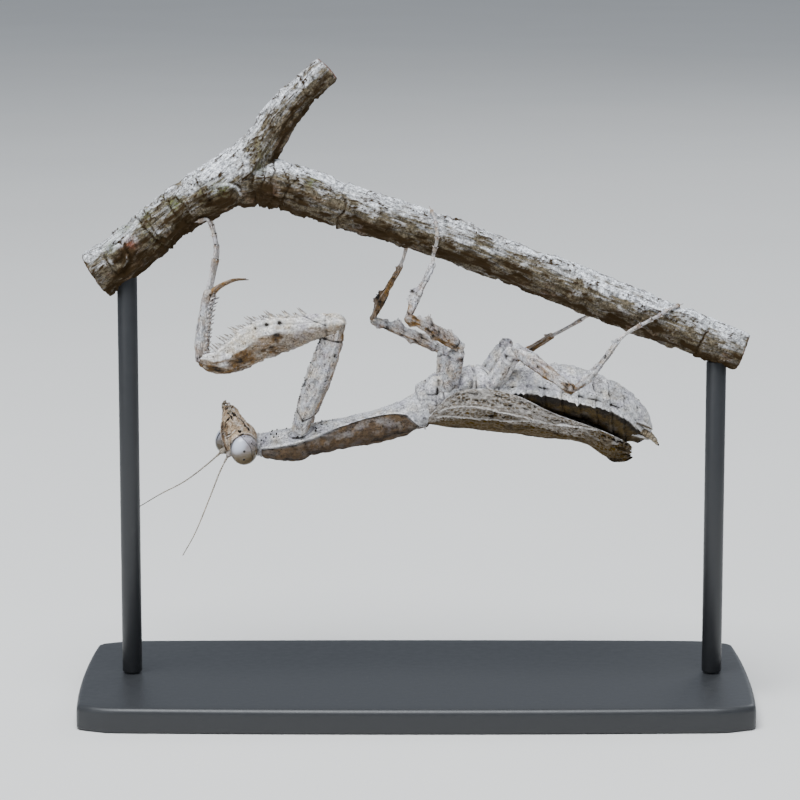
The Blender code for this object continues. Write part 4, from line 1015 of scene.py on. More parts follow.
def build_pterothorax(look):
    """Middle and hind thorax: overlapping breast plates.  Bulges under the leg bases are wide bells,
    and the plates are parted by grooves that run round at a slant; the flanks carry fine ridges."""
    skin = Skin(PTEROTHORAX, UP, 190, 150, (0.6, 0.8), power=2.2)
    x, y, z = np.moveaxis(skin.grid, -1, 0)
    grooves = np.zeros_like(x)
    for place, slant, width in PLATE_GROOVES:
        line = x - place - slant * np.sin(skin.angle) ** 2 - 0.15 * wander(skin.grid, 1.2, 61)
        grooves = np.maximum(grooves, bell(line, width))
    bulges = np.zeros_like(x)
    moats = np.zeros_like(x)
    for place, angle, wide, high in BULGES:
        for turn in (angle, math.pi - angle):
            away = np.hypot((x - place) / wide, turn_gap(skin.angle, turn) / 0.34)
            bulges = np.maximum(bulges, high * np.exp(-away ** 2))
            moat = bell(away - 1.35, 0.12) * smoothstep(wander(skin.grid, 1.3, 68, 2), -0.3, 0.2)
            moats = np.maximum(moats, moat)
    flank = smoothstep(-np.sin(skin.angle), -0.5, 0.1)
    ridges = np.abs(wander(np.stack((x * 2.2 + z * 1.1, y * 0.3, z * 0.4), -1), 0.8, 63, 2))
    skin.push(1.15 * bulges - 0.30 * grooves - 0.14 * moats
              + 0.14 * wander(skin.grid, 1.3, 64, 4) * (1 - smoothstep(bulges, 0.1, 0.5))
              - 0.12 * flank * (1 - ridges))
    # Painted shade in the grooves, round the bulges and between the ridges of the flanks.
    skin.paint(
        warm=0.15 + 0.35 * flank + 0.25 * smoothstep(wander(skin.grid, 2.0, 65, 2), 0.2, 0.6),
        dark=0.7 * grooves * smoothstep(wander(skin.grid, 0.9, 66, 2), -0.4, 0.2) + 0.85 * moats
        + 0.40 * smoothstep(ridges, 0.25, 0.02) * flank,
        pale=0.85 * smoothstep(bulges, 0.15, 0.5) + 0.15 * (1 - flank),
    )
    grains = scatter_grains(skin, 200, 67, lambda t, a: np.sin(a) > -0.2, 0.05, 0.12)
    make_piece("thorax_plates", [skin.shell(), grains], look, ("pterothorax",))


def build_abdomen(look, feeler_look):
    """Abdomen: overlapping belly plates above, torn side lobes at the margin, and a dark back.

    Each belly plate rises towards its rear edge as a ramp and drops at a groove.  The side margin is a
    thin flange whose reach grows along each plate and falls back in a ragged notch.  The end carries
    the blunt valves of the ovipositor and a pointed plate, and two short tail feelers.
    """
    skin = Skin(ABDOMEN, UP, 280, 200, (0.5, 0.9), power=1.8)
    x = skin.grid[..., 0]
    edges = np.array((13.6, *SEGMENTS, 35.4, 37.5))
    bowed = (x + 0.5 * np.sin(skin.angle) ** 2 * np.sign(np.sin(skin.angle))
             + 0.12 * wander(skin.grid, 1.0, 71))
    which = np.clip(np.searchsorted(edges, bowed) - 1, 0, len(edges) - 2)
    part = np.clip((bowed - edges[which]) / (edges[which + 1] - edges[which]), 0, 1)
    gap = np.abs(bowed[..., None] - edges[1:-1]).min(-1)
    seam = bell(gap, 0.14)
    belly = smoothstep(np.sin(skin.angle), 0.02, 0.18)
    back = smoothstep(-np.sin(skin.angle), 0.02, 0.2)
    skin.push(0.16 * part * belly + 0.26 * part * back - 0.16 * seam)
    fold = bell(np.abs(turn_gap(skin.angle, QUARTER)) - 0.95, 0.12)
    skin.push(-0.20 * fold + 0.10 * wander(skin.grid, 1.1, 72, 4) + 0.16 * wander(skin.grid, 2.6, 70, 2))
    for centre in (0.0, math.pi):
        lean = turn_gap(skin.angle, centre) * (1 if centre == 0.0 else -1)
        torn = 0.5 + 0.5 * streaks_of(x, 0.45, 73, 2, centre)
        reach = (0.35 + 0.6 * part * torn) * smoothstep(x, 13.5, 16) * (1 - smoothstep(x, 35, 37))
        reach = reach * (1 - 0.9 * smoothstep(part, 0.90, 1.0))
        hang = 0.03 * streaks_of(x * 1.3, 0.5, 75, 2, centre)
        flange = bell(lean + 0.02 + hang, 0.085)
        skin.lift(-0.45 * flange * (0.4 + part * torn), sideways=np.cos(centre) * flange * reach)
        under = bell(lean - 0.22, 0.10)
        skin.push(-0.16 * under)
        ragged = smoothstep(wander(skin.grid, 0.9, 74, 2), -0.2, 0.4)
        # Painted shade in the groove above the pale rim, and painted shadow beneath the hanging flange.
        skin.paint(pale=0.95 * bell(lean + 0.05 + hang, 0.10),
                   dark=0.35 * under * ragged + 0.55 * bell(lean - 0.20, 0.045) * (0.7 + 0.3 * ragged)
                   + 0.4 * bell(lean + 0.24, 0.08))
    ripple = np.abs(wander(skin.grid * (0.4, 1, 1), 0.8, 76, 3))
    skin.push(-0.12 * back * smoothstep(ripple, 0.3, 0.0))
    # The back is olive-brown; its darkening is painted shade, as is the dark in the fold beside the belly.
    skin.paint(
        warm=back * 1.0 + 0.13 + 0.35 * smoothstep(wander(skin.grid, 2.8, 77, 2), 0.25, 0.6) * belly,
        dark=back * (0.36 + 0.4 * smoothstep(wander(skin.grid, 1.5, 78, 3), -0.2, 0.5))
        + 0.42 * seam * belly * smoothstep(wander(skin.grid, 1.1, 79, 2), 0.0, 0.4) + 0.2 * fold,
        pale=0.4 * belly * part,
    )
    grains = scatter_grains(skin, 220, 80, lambda t, a: np.sin(a) > 0.1, 0.05, 0.12)
    make_piece("abdomen_plates", [skin.shell(), grains, *tail_end()], look, ("abdomen",))

    for side, sign in SIDES.items():
        rows = ((34.6, sign * 1.0, 44.7, 0.6, 0.6, 0.6), (36.0, sign * 1.2, 44.3, 0.6, 0.55, 0.55),
                (37.4, sign * 1.55, 43.4, 0.45, 0.42, 0.42), (38.7, sign * 1.9, 42.1, 0.2, 0.2, 0.2))
        cercus = Skin(rows, UP, 90, 28, (0.1, 0.25))
        beads = np.abs(np.sin(cercus.t * math.pi * 8))
        cercus.push(0.07 * (beads - 0.5))
        cercus.paint(warm=0.3, dark=0.6 * smoothstep(beads, 0.35, 0.05) + 0.2)
        make_piece(f"cercus_beads_{side}", [cercus.shell()], feeler_look,
                   (f"cercus_{side}",))


def tail_end():
    """Three short pointed valves and a plate at the end of the abdomen, and a row of small spines."""
    shells = []
    for x, y, z, length, thick, drop in VALVES:
        rows = ((x, y, z, thick, thick * 0.7, thick * 0.7),
                (x + length * 0.6, y, z - 0.5 * drop, thick * 0.7, thick * 0.5, thick * 0.5),
                (x + length, y * 0.8, z - drop, thick * 0.2, thick * 0.15, thick * 0.15))
        valve = Skin(rows, UP, 24, 20, (0.2, 0.15))
        valve.push(0.05 * wander(valve.grid, 0.5, 84, 2))
        above = smoothstep(np.sin(valve.angle), -0.2, 0.3) * np.ones(valve.grid.shape[:2])
        # Warm brown below, darkened there as painted shade.
        valve.paint(warm=0.25 + 0.6 * (1 - above), pale=0.5 * above, dark=0.3 * (1 - above))
        shells.append(valve.shell())
    roots = np.array(TAIL_SPINES)
    shells.append(spines(roots - (0.3, 0, 0), roots + ((0.75, -0.1, -0.25),), 0.2, dark_from=0.7))
    return shells


# --------------------------------------------------------------------------------------- the wings

# Rows of (x, depth of the fold, half width, height of the front edge), from root to tip.
WING = (
    (1.9, 45.2, 2.6, 46.6), (3.2, 45.0, 3.3, 48.1), (5.0, 44.7, 4.2, 50.2), (7.6, 44.5, 4.7, 51.5),
    (12.0, 44.0, 5.0, 51.6), (16.5, 43.6, 5.1, 50.4), (21.5, 42.9, 4.9, 47.9), (27.0, 42.1, 4.4, 45.8),
    (30.4, 39.9, 3.7, 44.4), (32.8, 39.2, 2.5, 43.2), (34.2, 40.0, 1.3, 41.9),
)
WING_LAP = 0.7           # how far each wing laps over the middle
WING_THICKNESS = 0.22
# Long veins, as rows of (x, part of the way from the fold to the front edge).
VEINS = (
    ((3.9, 0.81), (7.0, 0.75), (10.6, 0.73), (14.0, 0.70), (18.9, 0.71), (24.0, 0.82), (29.0, 0.97)),
    ((3.2, 0.70), (6.0, 0.58), (10.0, 0.53), (15.0, 0.58), (18.9, 0.68), (21.0, 0.74)),
    ((4.0, 0.55), (8.0, 0.43), (14.0, 0.40), (20.0, 0.45), (27.0, 0.62), (31.0, 0.80)),
    ((10.0, 0.42), (15.0, 0.31), (21.0, 0.28), (27.0, 0.38), (32.0, 0.55)),
    ((4.0, 0.45), (8.0, 0.26), (14.0, 0.19), (22.0, 0.15), (28.0, 0.19), (32.5, 0.3)),
    ((5.0, 0.26), (10.0, 0.12), (18.0, 0.07), (27.0, 0.06)),
)


def sheet(middle, outward, thickness, masks):
    """Closed thin shell about a grid of points: the two faces part by the thickness, which fades to
    nothing at the border, where they share their points."""
    long, wide = middle.shape[:2]
    rim = np.minimum.outer(np.minimum(np.arange(long), np.arange(long)[::-1]),
                           np.minimum(np.arange(wide), np.arange(wide)[::-1]))
    half = thickness / 2 * np.sqrt(np.clip(rim / 3, 0, 1))[..., None]
    front, behind = middle + outward * half, middle - outward * half
    count = long * wide
    index = np.arange(count).reshape(long, wide)
    inner = rim > 0
    other = index.copy()
    other[inner] = count + np.arange(inner.sum())
    points = np.concatenate((front.reshape(-1, 3), behind[inner]))
    quads = []
    for table, way in ((index, 1), (other, -1)):
        quad = np.stack((table[:-1, :-1], table[1:, :-1], table[1:, 1:], table[:-1, 1:]), -1).reshape(-1, 4)
        quads.append(quad[:, ::way])
    quads = np.concatenate(quads)
    a, b, c = (points[quads[:count // 2, corner]] for corner in (0, 1, 2))
    if (np.cross(b - a, c - a).sum(0) * outward.reshape(-1, 3).sum(0)).sum() < 0:
        quads = quads[:, ::-1]
    u, v = np.meshgrid(np.linspace(0, 1, long), np.linspace(0, 1, wide), indexing="ij")
    uv = np.stack((u, v), -1)
    return {"points": points, "quads": quads, "tris": np.zeros((0, 3), int),
            "uv": np.concatenate((uv.reshape(-1, 2), uv[inner])),
            "masks": {name: np.concatenate((mask.ravel(), mask[inner])) for name, mask in masks.items()}}


def build_wing(look, side, vein_height):
    """Forewing folded along the back: a quarter ellipse from the fold up to the front edge.

    Long veins are low rounded ridges along curves in the wing's plane, the first one the leading fold
    of the hind field.  Between them the membrane is netted with shallow pits.  The front edge is
    thickened, and the tip is torn by a wave of random depth.
    """
    sign = SIDES[side]
    rise = 0.0 if side == "right" else 0.75
    rows = even_rows([(x, fold + rise, edge - 0.5 * rise, width - 0.4 * rise)
                      for x, fold, width, edge in WING], 300)
    x, fold, edge, width = (column[:, None] for column in rows.T)
    lap = np.minimum(WING_LAP, 0.3 * width)
    v = np.linspace(-0.1, 1, 120)[None, :]
    turn = np.clip(v, 0, 1) * QUARTER
    # The tip is torn: the last rows reach less or more.
    torn = 1.5 * streaks_of(v * 7, 0.5, 91, 3, sign)
    late = smoothstep(x, 29, 34)
    z = fold + (edge - fold) * (1 - np.cos(turn))
    y = sign * np.where(v < 0, lap * v / 0.1, width * np.sin(turn))
    grid = np.stack((x + late * (0.7 * torn - 0.5) + 0 * v, y, z - 0.25 * late * np.abs(torn)), -1)
    grid[..., 2] += 0.05 * (v < 0)

    def normals_of(points):
        """Outward unit normals of a grid of points."""
        normals = unit(np.cross(np.gradient(points, axis=0), np.gradient(points, axis=1)))
        return normals * np.sign((normals[..., 1] * sign).sum())

    outward = normals_of(grid)
    ridge, pale = np.zeros(grid.shape[:2]), np.zeros(grid.shape[:2])
    reach = (edge - fold + width) * 0.8
    for number, vein in enumerate(VEINS):
        vein = even_rows([(*point, 0) for point in vein], 60)
        line = np.interp(x, vein[:, 0], vein[:, 1]) + 0.008 * streaks_of(x, 1.5, 92, 2, number)
        gap = (v - line) * reach
        span = (smoothstep(x, vein[0, 0] - 0.6, vein[0, 0] + 0.6)
                * (1 - smoothstep(x, vein[-1, 0] - 0.6, vein[-1, 0] + 0.6)))
        crest = bell(gap, 0.075) * span
        ridge = np.maximum(ridge, crest * (1.0 if number < 2 else 0.4))
        pale = np.maximum(pale, crest * (0.55 if number < 2 else 0.10))
    front = bell((v - 0.998) * reach, 0.055)
    ridge, pale = np.maximum(ridge, 0.5 * front), np.maximum(pale, 0.75 * front)
    # Net of cross-veins: ridges where a stretched noise field crosses zero.
    cell = np.stack((x * 1.5 + 0 * v, v * reach * 2.3, 0 * x * v), -1)
    net = np.minimum(np.abs(wander(cell, 1.0, 93)), np.abs(wander(cell + 31.7, 1.0, 94)))
    net = 1 - smoothstep(net, 0.0, 0.22)
    swell = wander(grid, 3.0, 95, 2)
    rows_of_pits = (smoothstep(v, 0.72, 0.78) * (0.5 + 0.5 * np.sin((v - 0.7) * reach * 6.5))
                    * smoothstep(x, 4, 7))
    amount = vein_height * (0.30 * ridge + 0.18 * net * (1 - 0.8 * smoothstep(0.5 - v, 0.0, 0.1))
                            - 0.10 * rows_of_pits) + 0.22 * swell * smoothstep(x, 4, 8) - 0.10
    # A crease runs along the wing just behind the first two veins.
    crease = (bell((v - 0.47 - 0.004 * (x - 14)) * reach, 0.5) * smoothstep(x, 5, 9)
              * (1 - smoothstep(x, 24, 29)))
    amount = amount - 0.30 * crease
    grid = grid + outward * amount[..., None]
    costal = smoothstep(v, 0.66, 0.78) * np.ones_like(x)
    lower = smoothstep(0.56 - v, 0.0, 0.12)
    stigma = np.exp(-((x - 12.75) / 1.25) ** 2 - ((v - 0.62) * reach / 0.62) ** 2)
    stigma = stigma * smoothstep(wander(grid, 0.6, 98, 2), -0.5, 0.1)
    streaks = wander(np.stack((x * 0.35 + 0 * v, v * reach, 0 * x * v), -1), 0.75, 96, 3)
    hind = 1 - costal
    between = hind * (1 - lower)
    # The lower field is brown, and darker still as painted shade; the dark where the wing laps at the fold
    # and in the crease is painted shade too.
    masks = {
        "warm": np.clip(0.15 + between * (0.25 + 0.3 * streaks) + 0.75 * smoothstep(x, 24, 31)
                        + 1.0 * lower, 0, 1),
        "dark": np.clip(1.0 * stigma + hind * 0.35 * smoothstep(streaks, 0.25, 0.6)
                        + (0.25 + 0.45 * rows_of_pits) * (1 - net) * costal
                        + 0.12 * lower + 0.25 * smoothstep(x + 1.2 * streaks, 27.5, 32.5)
                        + 0.15 * hind * crease - 0.6 * pale
                        + 0.4 * smoothstep(-v, -0.12, 0.0)
                        + 0.5 * bell(v - 0.1, 0.03) * smoothstep(streaks, 0, 0.5), 0, 1),
        "pale": np.clip(pale + 0.35 * costal * smoothstep(streaks, 0.0, 0.5), 0, 1),
    }
    if side == "right":
        stay_put("forewing_right", grid.reshape(-1, 3), "forewing_right", 1.0)
    membrane = sheet(grid, normals_of(grid), WING_THICKNESS, masks)
    make_piece(f"tegmen_{side}", [membrane], look, (f"forewing_{side}",))


# ---------------------------------------------------------------------------------------- the head

HEAD_ROWS = (   # x, front, crown, half width, rise to the front, drop to the back
    (0.0, -0.3, 2.3, 1.9, 0.9, 2.1), (0.0, -0.3, 1.4, 2.4, 1.6, 2.8), (0.0, -0.2, 0.0, 2.6, 1.95, 3.2),
    (0.0, -0.1, -1.6, 2.7, 2.0, 3.2), (0.0, 0.0, -3.1, 2.35, 1.85, 2.35),
    (0.0, 0.05, -4.5, 1.75, 1.45, 1.6), (0.0, 0.0, -5.7, 1.25, 1.1, 1.15), (0.0, 0.0, -6.5, 0.8, 0.75, 0.7),
)
EYE_PLACE, EYE_RADII, EYE_LEAN = (2.6, 0.0, 0.0), (1.7, 2.3, 2.45), 8.0
# Ways out, to the front and to the crown, in which the eye turns tan, partly as painted shade, and in
# which its painted highlight lies.
EYE_TAN, EYE_HIGHLIGHT_WAY = (0.15, 0.10, 0.98), (0.32, 0.62, -0.70)
EYE_SPOTS = ((1.57, 0.77, -0.47), (1.40, 0.98, 0.92))
# Seams of the face, as lines of (x, crown), the same on both sides.
FACE_SEAMS = (
    ((0.64, -2.25), (1.3, -2.75), (1.62, -2.9)),      # below the frontal shield
    ((0.0, -2.6), (0.64, -2.25)),
    ((1.05, 1.9), (1.15, 0.6), (1.3, -0.6), (1.55, -1.6)),   # between the face and the eye
)
# Thin dark lines of the cheek and the jaw, as (out, front, crown), the same on both sides.
CHEEK_LINES = (
    ((0.57, 0.82, -6.08), (1.2, 0.94, -5.95), (1.47, 0.93, -5.67), (1.8, 0.81, -5.22)),
    ((1.2, 0.94, -5.9), (0.96, 0.95, -5.41), (0.58, 1.39, -4.71), (0.47, 1.63, -3.89)),
    ((1.57, -0.12, -5.66), (1.45, -0.62, -4.95), (1.5, -1.1, -4.2), (1.85, -1.18, -3.6),
     (2.0, -1.55, -2.85), (2.1, -1.75, -2.25)),
    ((2.40, 0.53, -2.74), (2.48, 0.15, -2.71), (2.52, -0.3, -2.57)),
    ((0.0, 0.75, -6.5), (0.23, 0.49, -6.78), (0.66, 0.42, -7.0), (0.5, -0.03, -6.9), (0.38, -0.5, -6.7)),
)
# Black pits between the mouthparts and on the cheek, and pale lobes, as (out, front, crown, size).
FACE_PITS = (
    (1.66, 0.33, -6.0, 0.30), (1.5, 0.54, -6.25, 0.24), (1.67, -0.01, -5.69, 0.26), (1.47, 0.93, -5.67, 0.30),
    (0.23, 0.49, -6.78, 0.16), (0.66, 0.42, -7.01, 0.2), (0.40, -0.03, -6.85, 0.2), (0.45, -0.45, -6.6, 0.18),
    (0.9, 0.85, -6.2, 0.16), (2.36, 0.05, -3.14, 0.21), (2.2, 0.28, -3.3, 0.13), (1.85, -1.18, -3.6, 0.18),
    (2.0, -1.55, -2.85, 0.17),
)
FACE_LOBES = ((0.77, -0.12, -6.6, 0.26), (1.34, 0.86, -6.11, 0.17), (1.19, 0.49, -6.61, 0.17))
SHIELD_EDGE = ((0.0, 1.8, -3.1), (0.61, 1.87, -2.2), (1.69, 1.44, -2.9), (2.13, 0.65, -3.66))


def head_turn():
    """Matrix whose columns are the head's right, front and crown."""
    right = unit(np.array(HEAD_RIGHT))
    crown = np.array(HEAD_CROWN)
    crown = unit(crown - crown.dot(right) * right)
    return np.stack((right, np.cross(crown, right), crown), 1)


def path_gap(points, line):
    """Distance of points, in space or in a plane, from a line of several stretches."""
    best = np.full(points.shape[:-1], 9.0)
    for start, end in zip(np.array(line), np.array(line[1:])):
        way = end - start
        part = np.clip((points - start) @ way / way.dot(way), 0, 1)[..., None]
        best = np.minimum(best, np.linalg.norm(points - start - part * way, axis=-1))
    return best


def face_marks(points):
    """Share of the dark lines and pits, and of the pale lobes, at points in the head's frame."""
    folded = np.stack((np.abs(points[..., 0]), points[..., 1], points[..., 2]), -1)
    folded = folded + 0.05 * wander(points, 0.5, 111, 2)[..., None]
    lines = np.maximum.reduce([bell(path_gap(folded, line), 0.13) for line in CHEEK_LINES])
    pits, lobes = (np.maximum.reduce([bell(np.linalg.norm(folded - place[:3], axis=-1), place[3])
                                      for place in places])
                   for places in (FACE_PITS, FACE_LOBES))
    return folded, lines, smoothstep(pits, 0.12, 0.5), lobes


def build_head(look):
    """Head capsule: seams cut along lines of the face, a raised frontal shield and upper lip, rims
    round the eyes and feeler sockets, three simple eyes, wrinkles over the back of the head, and two
    jaws.  Each feature is a bell or an S curve of the distance from its line or centre."""
    turn = head_turn()
    skin = Skin(HEAD_ROWS, (0, 1, 0), 230, 260, (0.4, 0.4), power=2.2)
    x, y, z = np.moveaxis(skin.grid.copy(), -1, 0)
    face = smoothstep(y, -0.4, 0.5)
    side = np.abs(x)
    wobbly = np.stack((side, z + 0.05 * wander(skin.grid, 0.6, 101, 2)), -1)
    seams = np.maximum.reduce([bell(path_gap(wobbly, line), 0.085) for line in FACE_SEAMS])
    seams = seams * smoothstep(y, -0.9, -0.1)
    shield = (smoothstep(1.6 - side, 0, 0.25) * smoothstep(-0.95 - z, 0, 0.25)
              * smoothstep(z + 2.7 + 0.25 * side, 0, 0.25) * face)
    shield_rim = 4 * shield * (1 - shield)
    lip = smoothstep(0.95 - side + 0.10 * (z + 5), 0, 0.2) * smoothstep(-4.4 - z, 0, 0.2) * face
    clypeus = (smoothstep(1.35 - side + 0.25 * (z + 4), 0, 0.3) * smoothstep(-3.0 - z, 0, 0.2)
               * smoothstep(z + 4.35, 0, 0.2) * face)
    sockets = np.hypot(side - 0.78, z - 0.25)
    ocelli = np.minimum(np.hypot(side - 0.42, z - 1.05), np.hypot(side, z - 0.65))
    eye = np.sqrt(((side - EYE_PLACE[0]) / EYE_RADII[0]) ** 2 + (y / EYE_RADII[1]) ** 2
                  + (z / EYE_RADII[2]) ** 2)
    rim = bell(eye - 1.10, 0.055)
    moat = bell(eye - 1.0, 0.06)
    wrinkle = wander(skin.grid * (1.4, 0.8, 0.5), 0.7, 102, 4)
    nape = 1 - face
    vertex = smoothstep(z, 1.4, 2.2)
    folded, lines, pits, lobes = face_marks(skin.grid)
    # A pale streak along the cheek: a painted highlight.
    cheek = bell(path_gap(folded, ((1.7, 0.6, -5.0), (2.04, 0.09, -4.27), (2.27, -0.31, -3.59))), 0.5)
    middle = smoothstep(1.5 - side, 0, 0.6) * face * smoothstep(z, -5.0, -4.0)
    olive = smoothstep(wander(skin.grid, 0.7, 114, 3), -0.35, 0.25)
    ledge = path_gap(folded, SHIELD_EDGE)
    skin.push(
        -0.10 * lines + 0.12 * bell(ledge, 0.12) - 0.09 * bell(ledge - 0.24, 0.08) + 0.14 * lobes
        - 0.14 * pits + 0.08 * cheek + 0.13 * shield + 0.08 * shield_rim + 0.20 * lip + 0.14 * clypeus
        - 0.17 * seams
        + 0.16 * bell(sockets - 0.42, 0.13) * face - 0.15 * bell(sockets, 0.25) * face
        + 0.17 * bell(ocelli, 0.17) * face + 0.16 * rim - 0.12 * moat
        + 0.16 * nape * wrinkle + 0.05 * wander(skin.grid, 0.45, 103, 3)
        + 0.12 * vertex * wander(skin.grid, 0.7, 104, 3)
        - 0.10 * bell(x, 0.10) * smoothstep(z, 0.9, 1.6),
    )
    stripes = smoothstep(np.abs(wander(skin.grid * (0.6, 0.6, 1.5), 0.55, 105, 2)), 0.10, 0.0)
    brown = smoothstep(wander(skin.grid, 1.2, 106, 3), 0.1, 0.5)
    # Painted shade in the moat round each eye, in the feeler sockets and in a line under the ledge of the
    # frontal shield; the head is darker towards its back as painted shade.
    skin.paint(
        dark=0.55 * seams + 0.25 * shield_rim * face + 0.6 * bell(sockets, 0.26) * face
        + 0.75 * bell(ocelli, 0.11) * face
        + nape * (0.05 + 0.35 * brown) * smoothstep(y, -0.8, -2.0) + 0.40 * stripes * nape + 0.5 * moat
        + 1.0 * lines
        + 0.55 * bell(ledge - 0.22, 0.06) * (side < 1.7) + 1.0 * pits + 0.25 * face * brown * (1 - shield)
        + 0.35 * middle * smoothstep(wander(skin.grid, 0.45, 115, 2), 0.1, 0.5),
        warm=0.12 + 0.25 * brown + 0.35 * smoothstep(y, -1.2, -2.4) + 0.2 * face * smoothstep(z, -1.5, 0.5)
        + 0.65 * middle * olive,
        pale=0.45 * rim + 0.3 * bell(ledge, 0.12) + 0.9 * lobes + 0.5 * cheek * (1 - brown)
        + 0.25 * smoothstep(wrinkle, 0, 0.5),
    )
    shells = []
    # Jaws: two blunt wedges beside the lip, and two short three-jointed lip feelers behind it.
    for sign in (1, -1):
        jaw = Skin([(sign * 1.55, 0.15, -3.6, 0.45, 0.5, 0.6), (sign * 1.5, 0.35, -4.8, 0.55, 0.6, 0.7),
                    (sign * 1.15, 0.45, -5.9, 0.5, 0.5, 0.6), (sign * 0.65, 0.45, -6.75, 0.28, 0.3, 0.3)],
                   (0, 1, 0), 90, 70, (0.3, 0.25))
        jaw.push(0.07 * wander(jaw.grid, 0.5, 107, 3))
        folded, lines, pits, lobes = face_marks(jaw.grid)
        jaw.push(-0.08 * lines - 0.10 * pits + 0.08 * lobes)
        # A pale streak along the jaw, in line with the cheek's: a painted highlight.
        jaw_highlight = bell(path_gap(folded, ((1.93, 0.64, -5.18), (2.04, 0.09, -4.27))), 0.4)
        stains = smoothstep(wander(jaw.grid, 0.6, 108, 2), 0.15, 0.5)
        jaw.paint(warm=0.2, dark=np.maximum(lines, pits) + 0.35 * stains, pale=0.7 * lobes + 0.3 * jaw_highlight)
        shells.append(jaw)
        shells.append(jointed([(sign * 0.35, -0.5, -6.2), (sign * 0.75, -0.1, -6.9),
                               (sign * 0.6, 0.5, -7.35)],
                              (0.24, 0.2, 0.15), 3, 109))
    skin.place(turn, HEAD_PLACE)
    stay_put("head_capsule", skin.grid.reshape(-1, 3), "head", 0.8)
    grains = scatter_grains(skin, 240, 110, lambda t, a: t < 2, 0.045, 0.10)
    shells = [shell.place(turn, HEAD_PLACE).shell() for shell in shells]
    make_piece("head_capsule", [skin.shell(), grains, *shells], look, ("head",))


def jointed(path, radii, joints, seed):
    """Thin limb of joints: each joint widens towards its end, and the seams between them are dark."""
    path = np.asarray(path, float)
    knots = catmull(path, 12 * len(path))
    thick = np.interp(np.linspace(0, 1, len(knots)), np.linspace(0, 1, len(radii)), radii)
    rows = np.column_stack((knots, thick, thick, thick))
    skin = Skin(rows, (0.3, 0.9, 0.2), 26 * joints, 16, (0.1, 0.12))
    part = (skin.t * joints) % 1.0
    seam = bell(np.minimum(part, 1 - part) * skin.length / joints, 0.07)
    swell = thick.mean() * 0.16 * (part - 0.4)
    skin.push(swell - 0.3 * thick.mean() * seam + 0.10 * thick.mean() * wander(skin.grid, 0.3, seed, 2))
    skin.paint(dark=0.75 * seam + 0.3 * smoothstep(wander(skin.grid, 0.9, seed + 1, 2), 0.1, 0.5),
               warm=0.35 + 0.3 * part, pale=0.3 * bell(part - 0.5, 0.25))
    return skin


def eye_shell(sign):
    """Ellipsoid in the head's frame as rings about its own outward axis, leaned like the CAD eye."""
    latitude = np.linspace(0.03, math.pi - 0.03, 100)[:, None]
    longitude = (np.arange(160) * TAU / 160)[None, :]
    a, b, c = EYE_RADII
    local = np.stack((sign * a * np.cos(latitude) * np.ones_like(longitude),
                      b * np.sin(latitude) * np.cos(longitude),
                      c * np.sin(latitude) * np.sin(longitude)), -1)
    lean = math.radians(sign * EYE_LEAN)
    tilt = np.array(((math.cos(lean), 0, math.sin(lean)), (0, 1, 0), (-math.sin(lean), 0, math.cos(lean))))
    turn = head_turn()
    place = np.array(EYE_PLACE) * (sign, 1, 1)
    grid = (local @ tilt.T + place) @ turn.T + HEAD_PLACE
    middle = place @ turn.T + HEAD_PLACE
    outward = np.cos(latitude) * np.ones_like(longitude)
    masks = {name: np.zeros(grid.shape[:2]) for name in MASKS}
    # Behind a dark curved line, and again behind a broken second one, the eye is mottled pinkish grey.
    own = (grid - np.array(HEAD_PLACE)) @ turn
    line = 0.6 * smoothstep(-own[..., 2], 0.7, 2.4) - 0.45
    rear = line - own[..., 1] + 0.05 * wander(grid, 0.5, 98, 2)
    freckles = smoothstep(wander(grid, 0.45, 97, 2), -0.15, 0.3)
    creases = smoothstep(np.abs(wander(grid, 0.7, 99, 2)), 0.12, 0.0)
    edges = np.maximum.reduce((0.75 * bell(outward + 0.02, 0.10), 0.95 * bell(rear, 0.075),
                               0.7 * bell(rear - 0.5 - 0.1 * np.sin(own[..., 2] * 3), 0.06) * freckles))
    # The dark ring where the eye meets the head, the darker inner half and the darkening towards the lower
    # side are painted shade; the lines and mottling behind the rear line are the eye's own.
    masks["dark"] = (edges + (0.45 * freckles + 0.55 * creases) * smoothstep(rear, 0.05, 0.2)
                     + 0.30 * (1 - smoothstep(outward, -0.1, 0.4)) * (rear < 0)
                     + 0.40 * smoothstep(own[..., 2], 1.0, 2.4) * smoothstep(-own[..., 1], -0.9, 0.9))
    masks["warm"] = np.maximum(0.25 * smoothstep(outward, 0.2, -0.4), 0.12 * smoothstep(rear, 0.0, 0.1))
    # Paler towards the upper front of the eye: a painted highlight.
    facing = unit(own - place) @ (unit(np.array(EYE_HIGHLIGHT_WAY)) * (sign, 1, 1))
    masks["pale"] = 0.75 * smoothstep(facing, 0.68, 1.0) * (rear < 0)
    shell = ring_shell(grid, middle)
    shell["masks"] = {name: np.concatenate((mask.ravel(), (0.0, 0.0))) for name, mask in masks.items()}
    return shell, grid


def build_eyes(colours, spot_size):
    """Compound eyes: one smooth ellipsoid each, with the small dark spots of the species."""
    turn = head_turn()
    for side, sign in (("right", 1.0), ("left", -1.0)):
        shell, grid = eye_shell(sign)
        stay_put(f"eye_{side}", grid.reshape(-1, 3), f"eye_{side}", 0.15)
        middle = np.array((sign * EYE_PLACE[0], 0, 0)) @ turn.T + HEAD_PLACE
        spots = []
        for outward, forward, crown in EYE_SPOTS:
            way = np.array((sign * outward, forward, crown))
            way = way / np.sqrt(((way / EYE_RADII) ** 2).sum())
            spots.append((tuple((middle + turn @ way).tolist()), spot_size))
        front = tuple((turn @ unit(np.array(EYE_TAN) * (sign, 1, 1))).tolist())
        look = cornea(f"clear_cornea_{side}", colours, spots, tuple(middle.tolist()), front)
        make_piece(f"cornea_{side}", [shell], look, (f"eye_{side}",), smooth_angle=80)


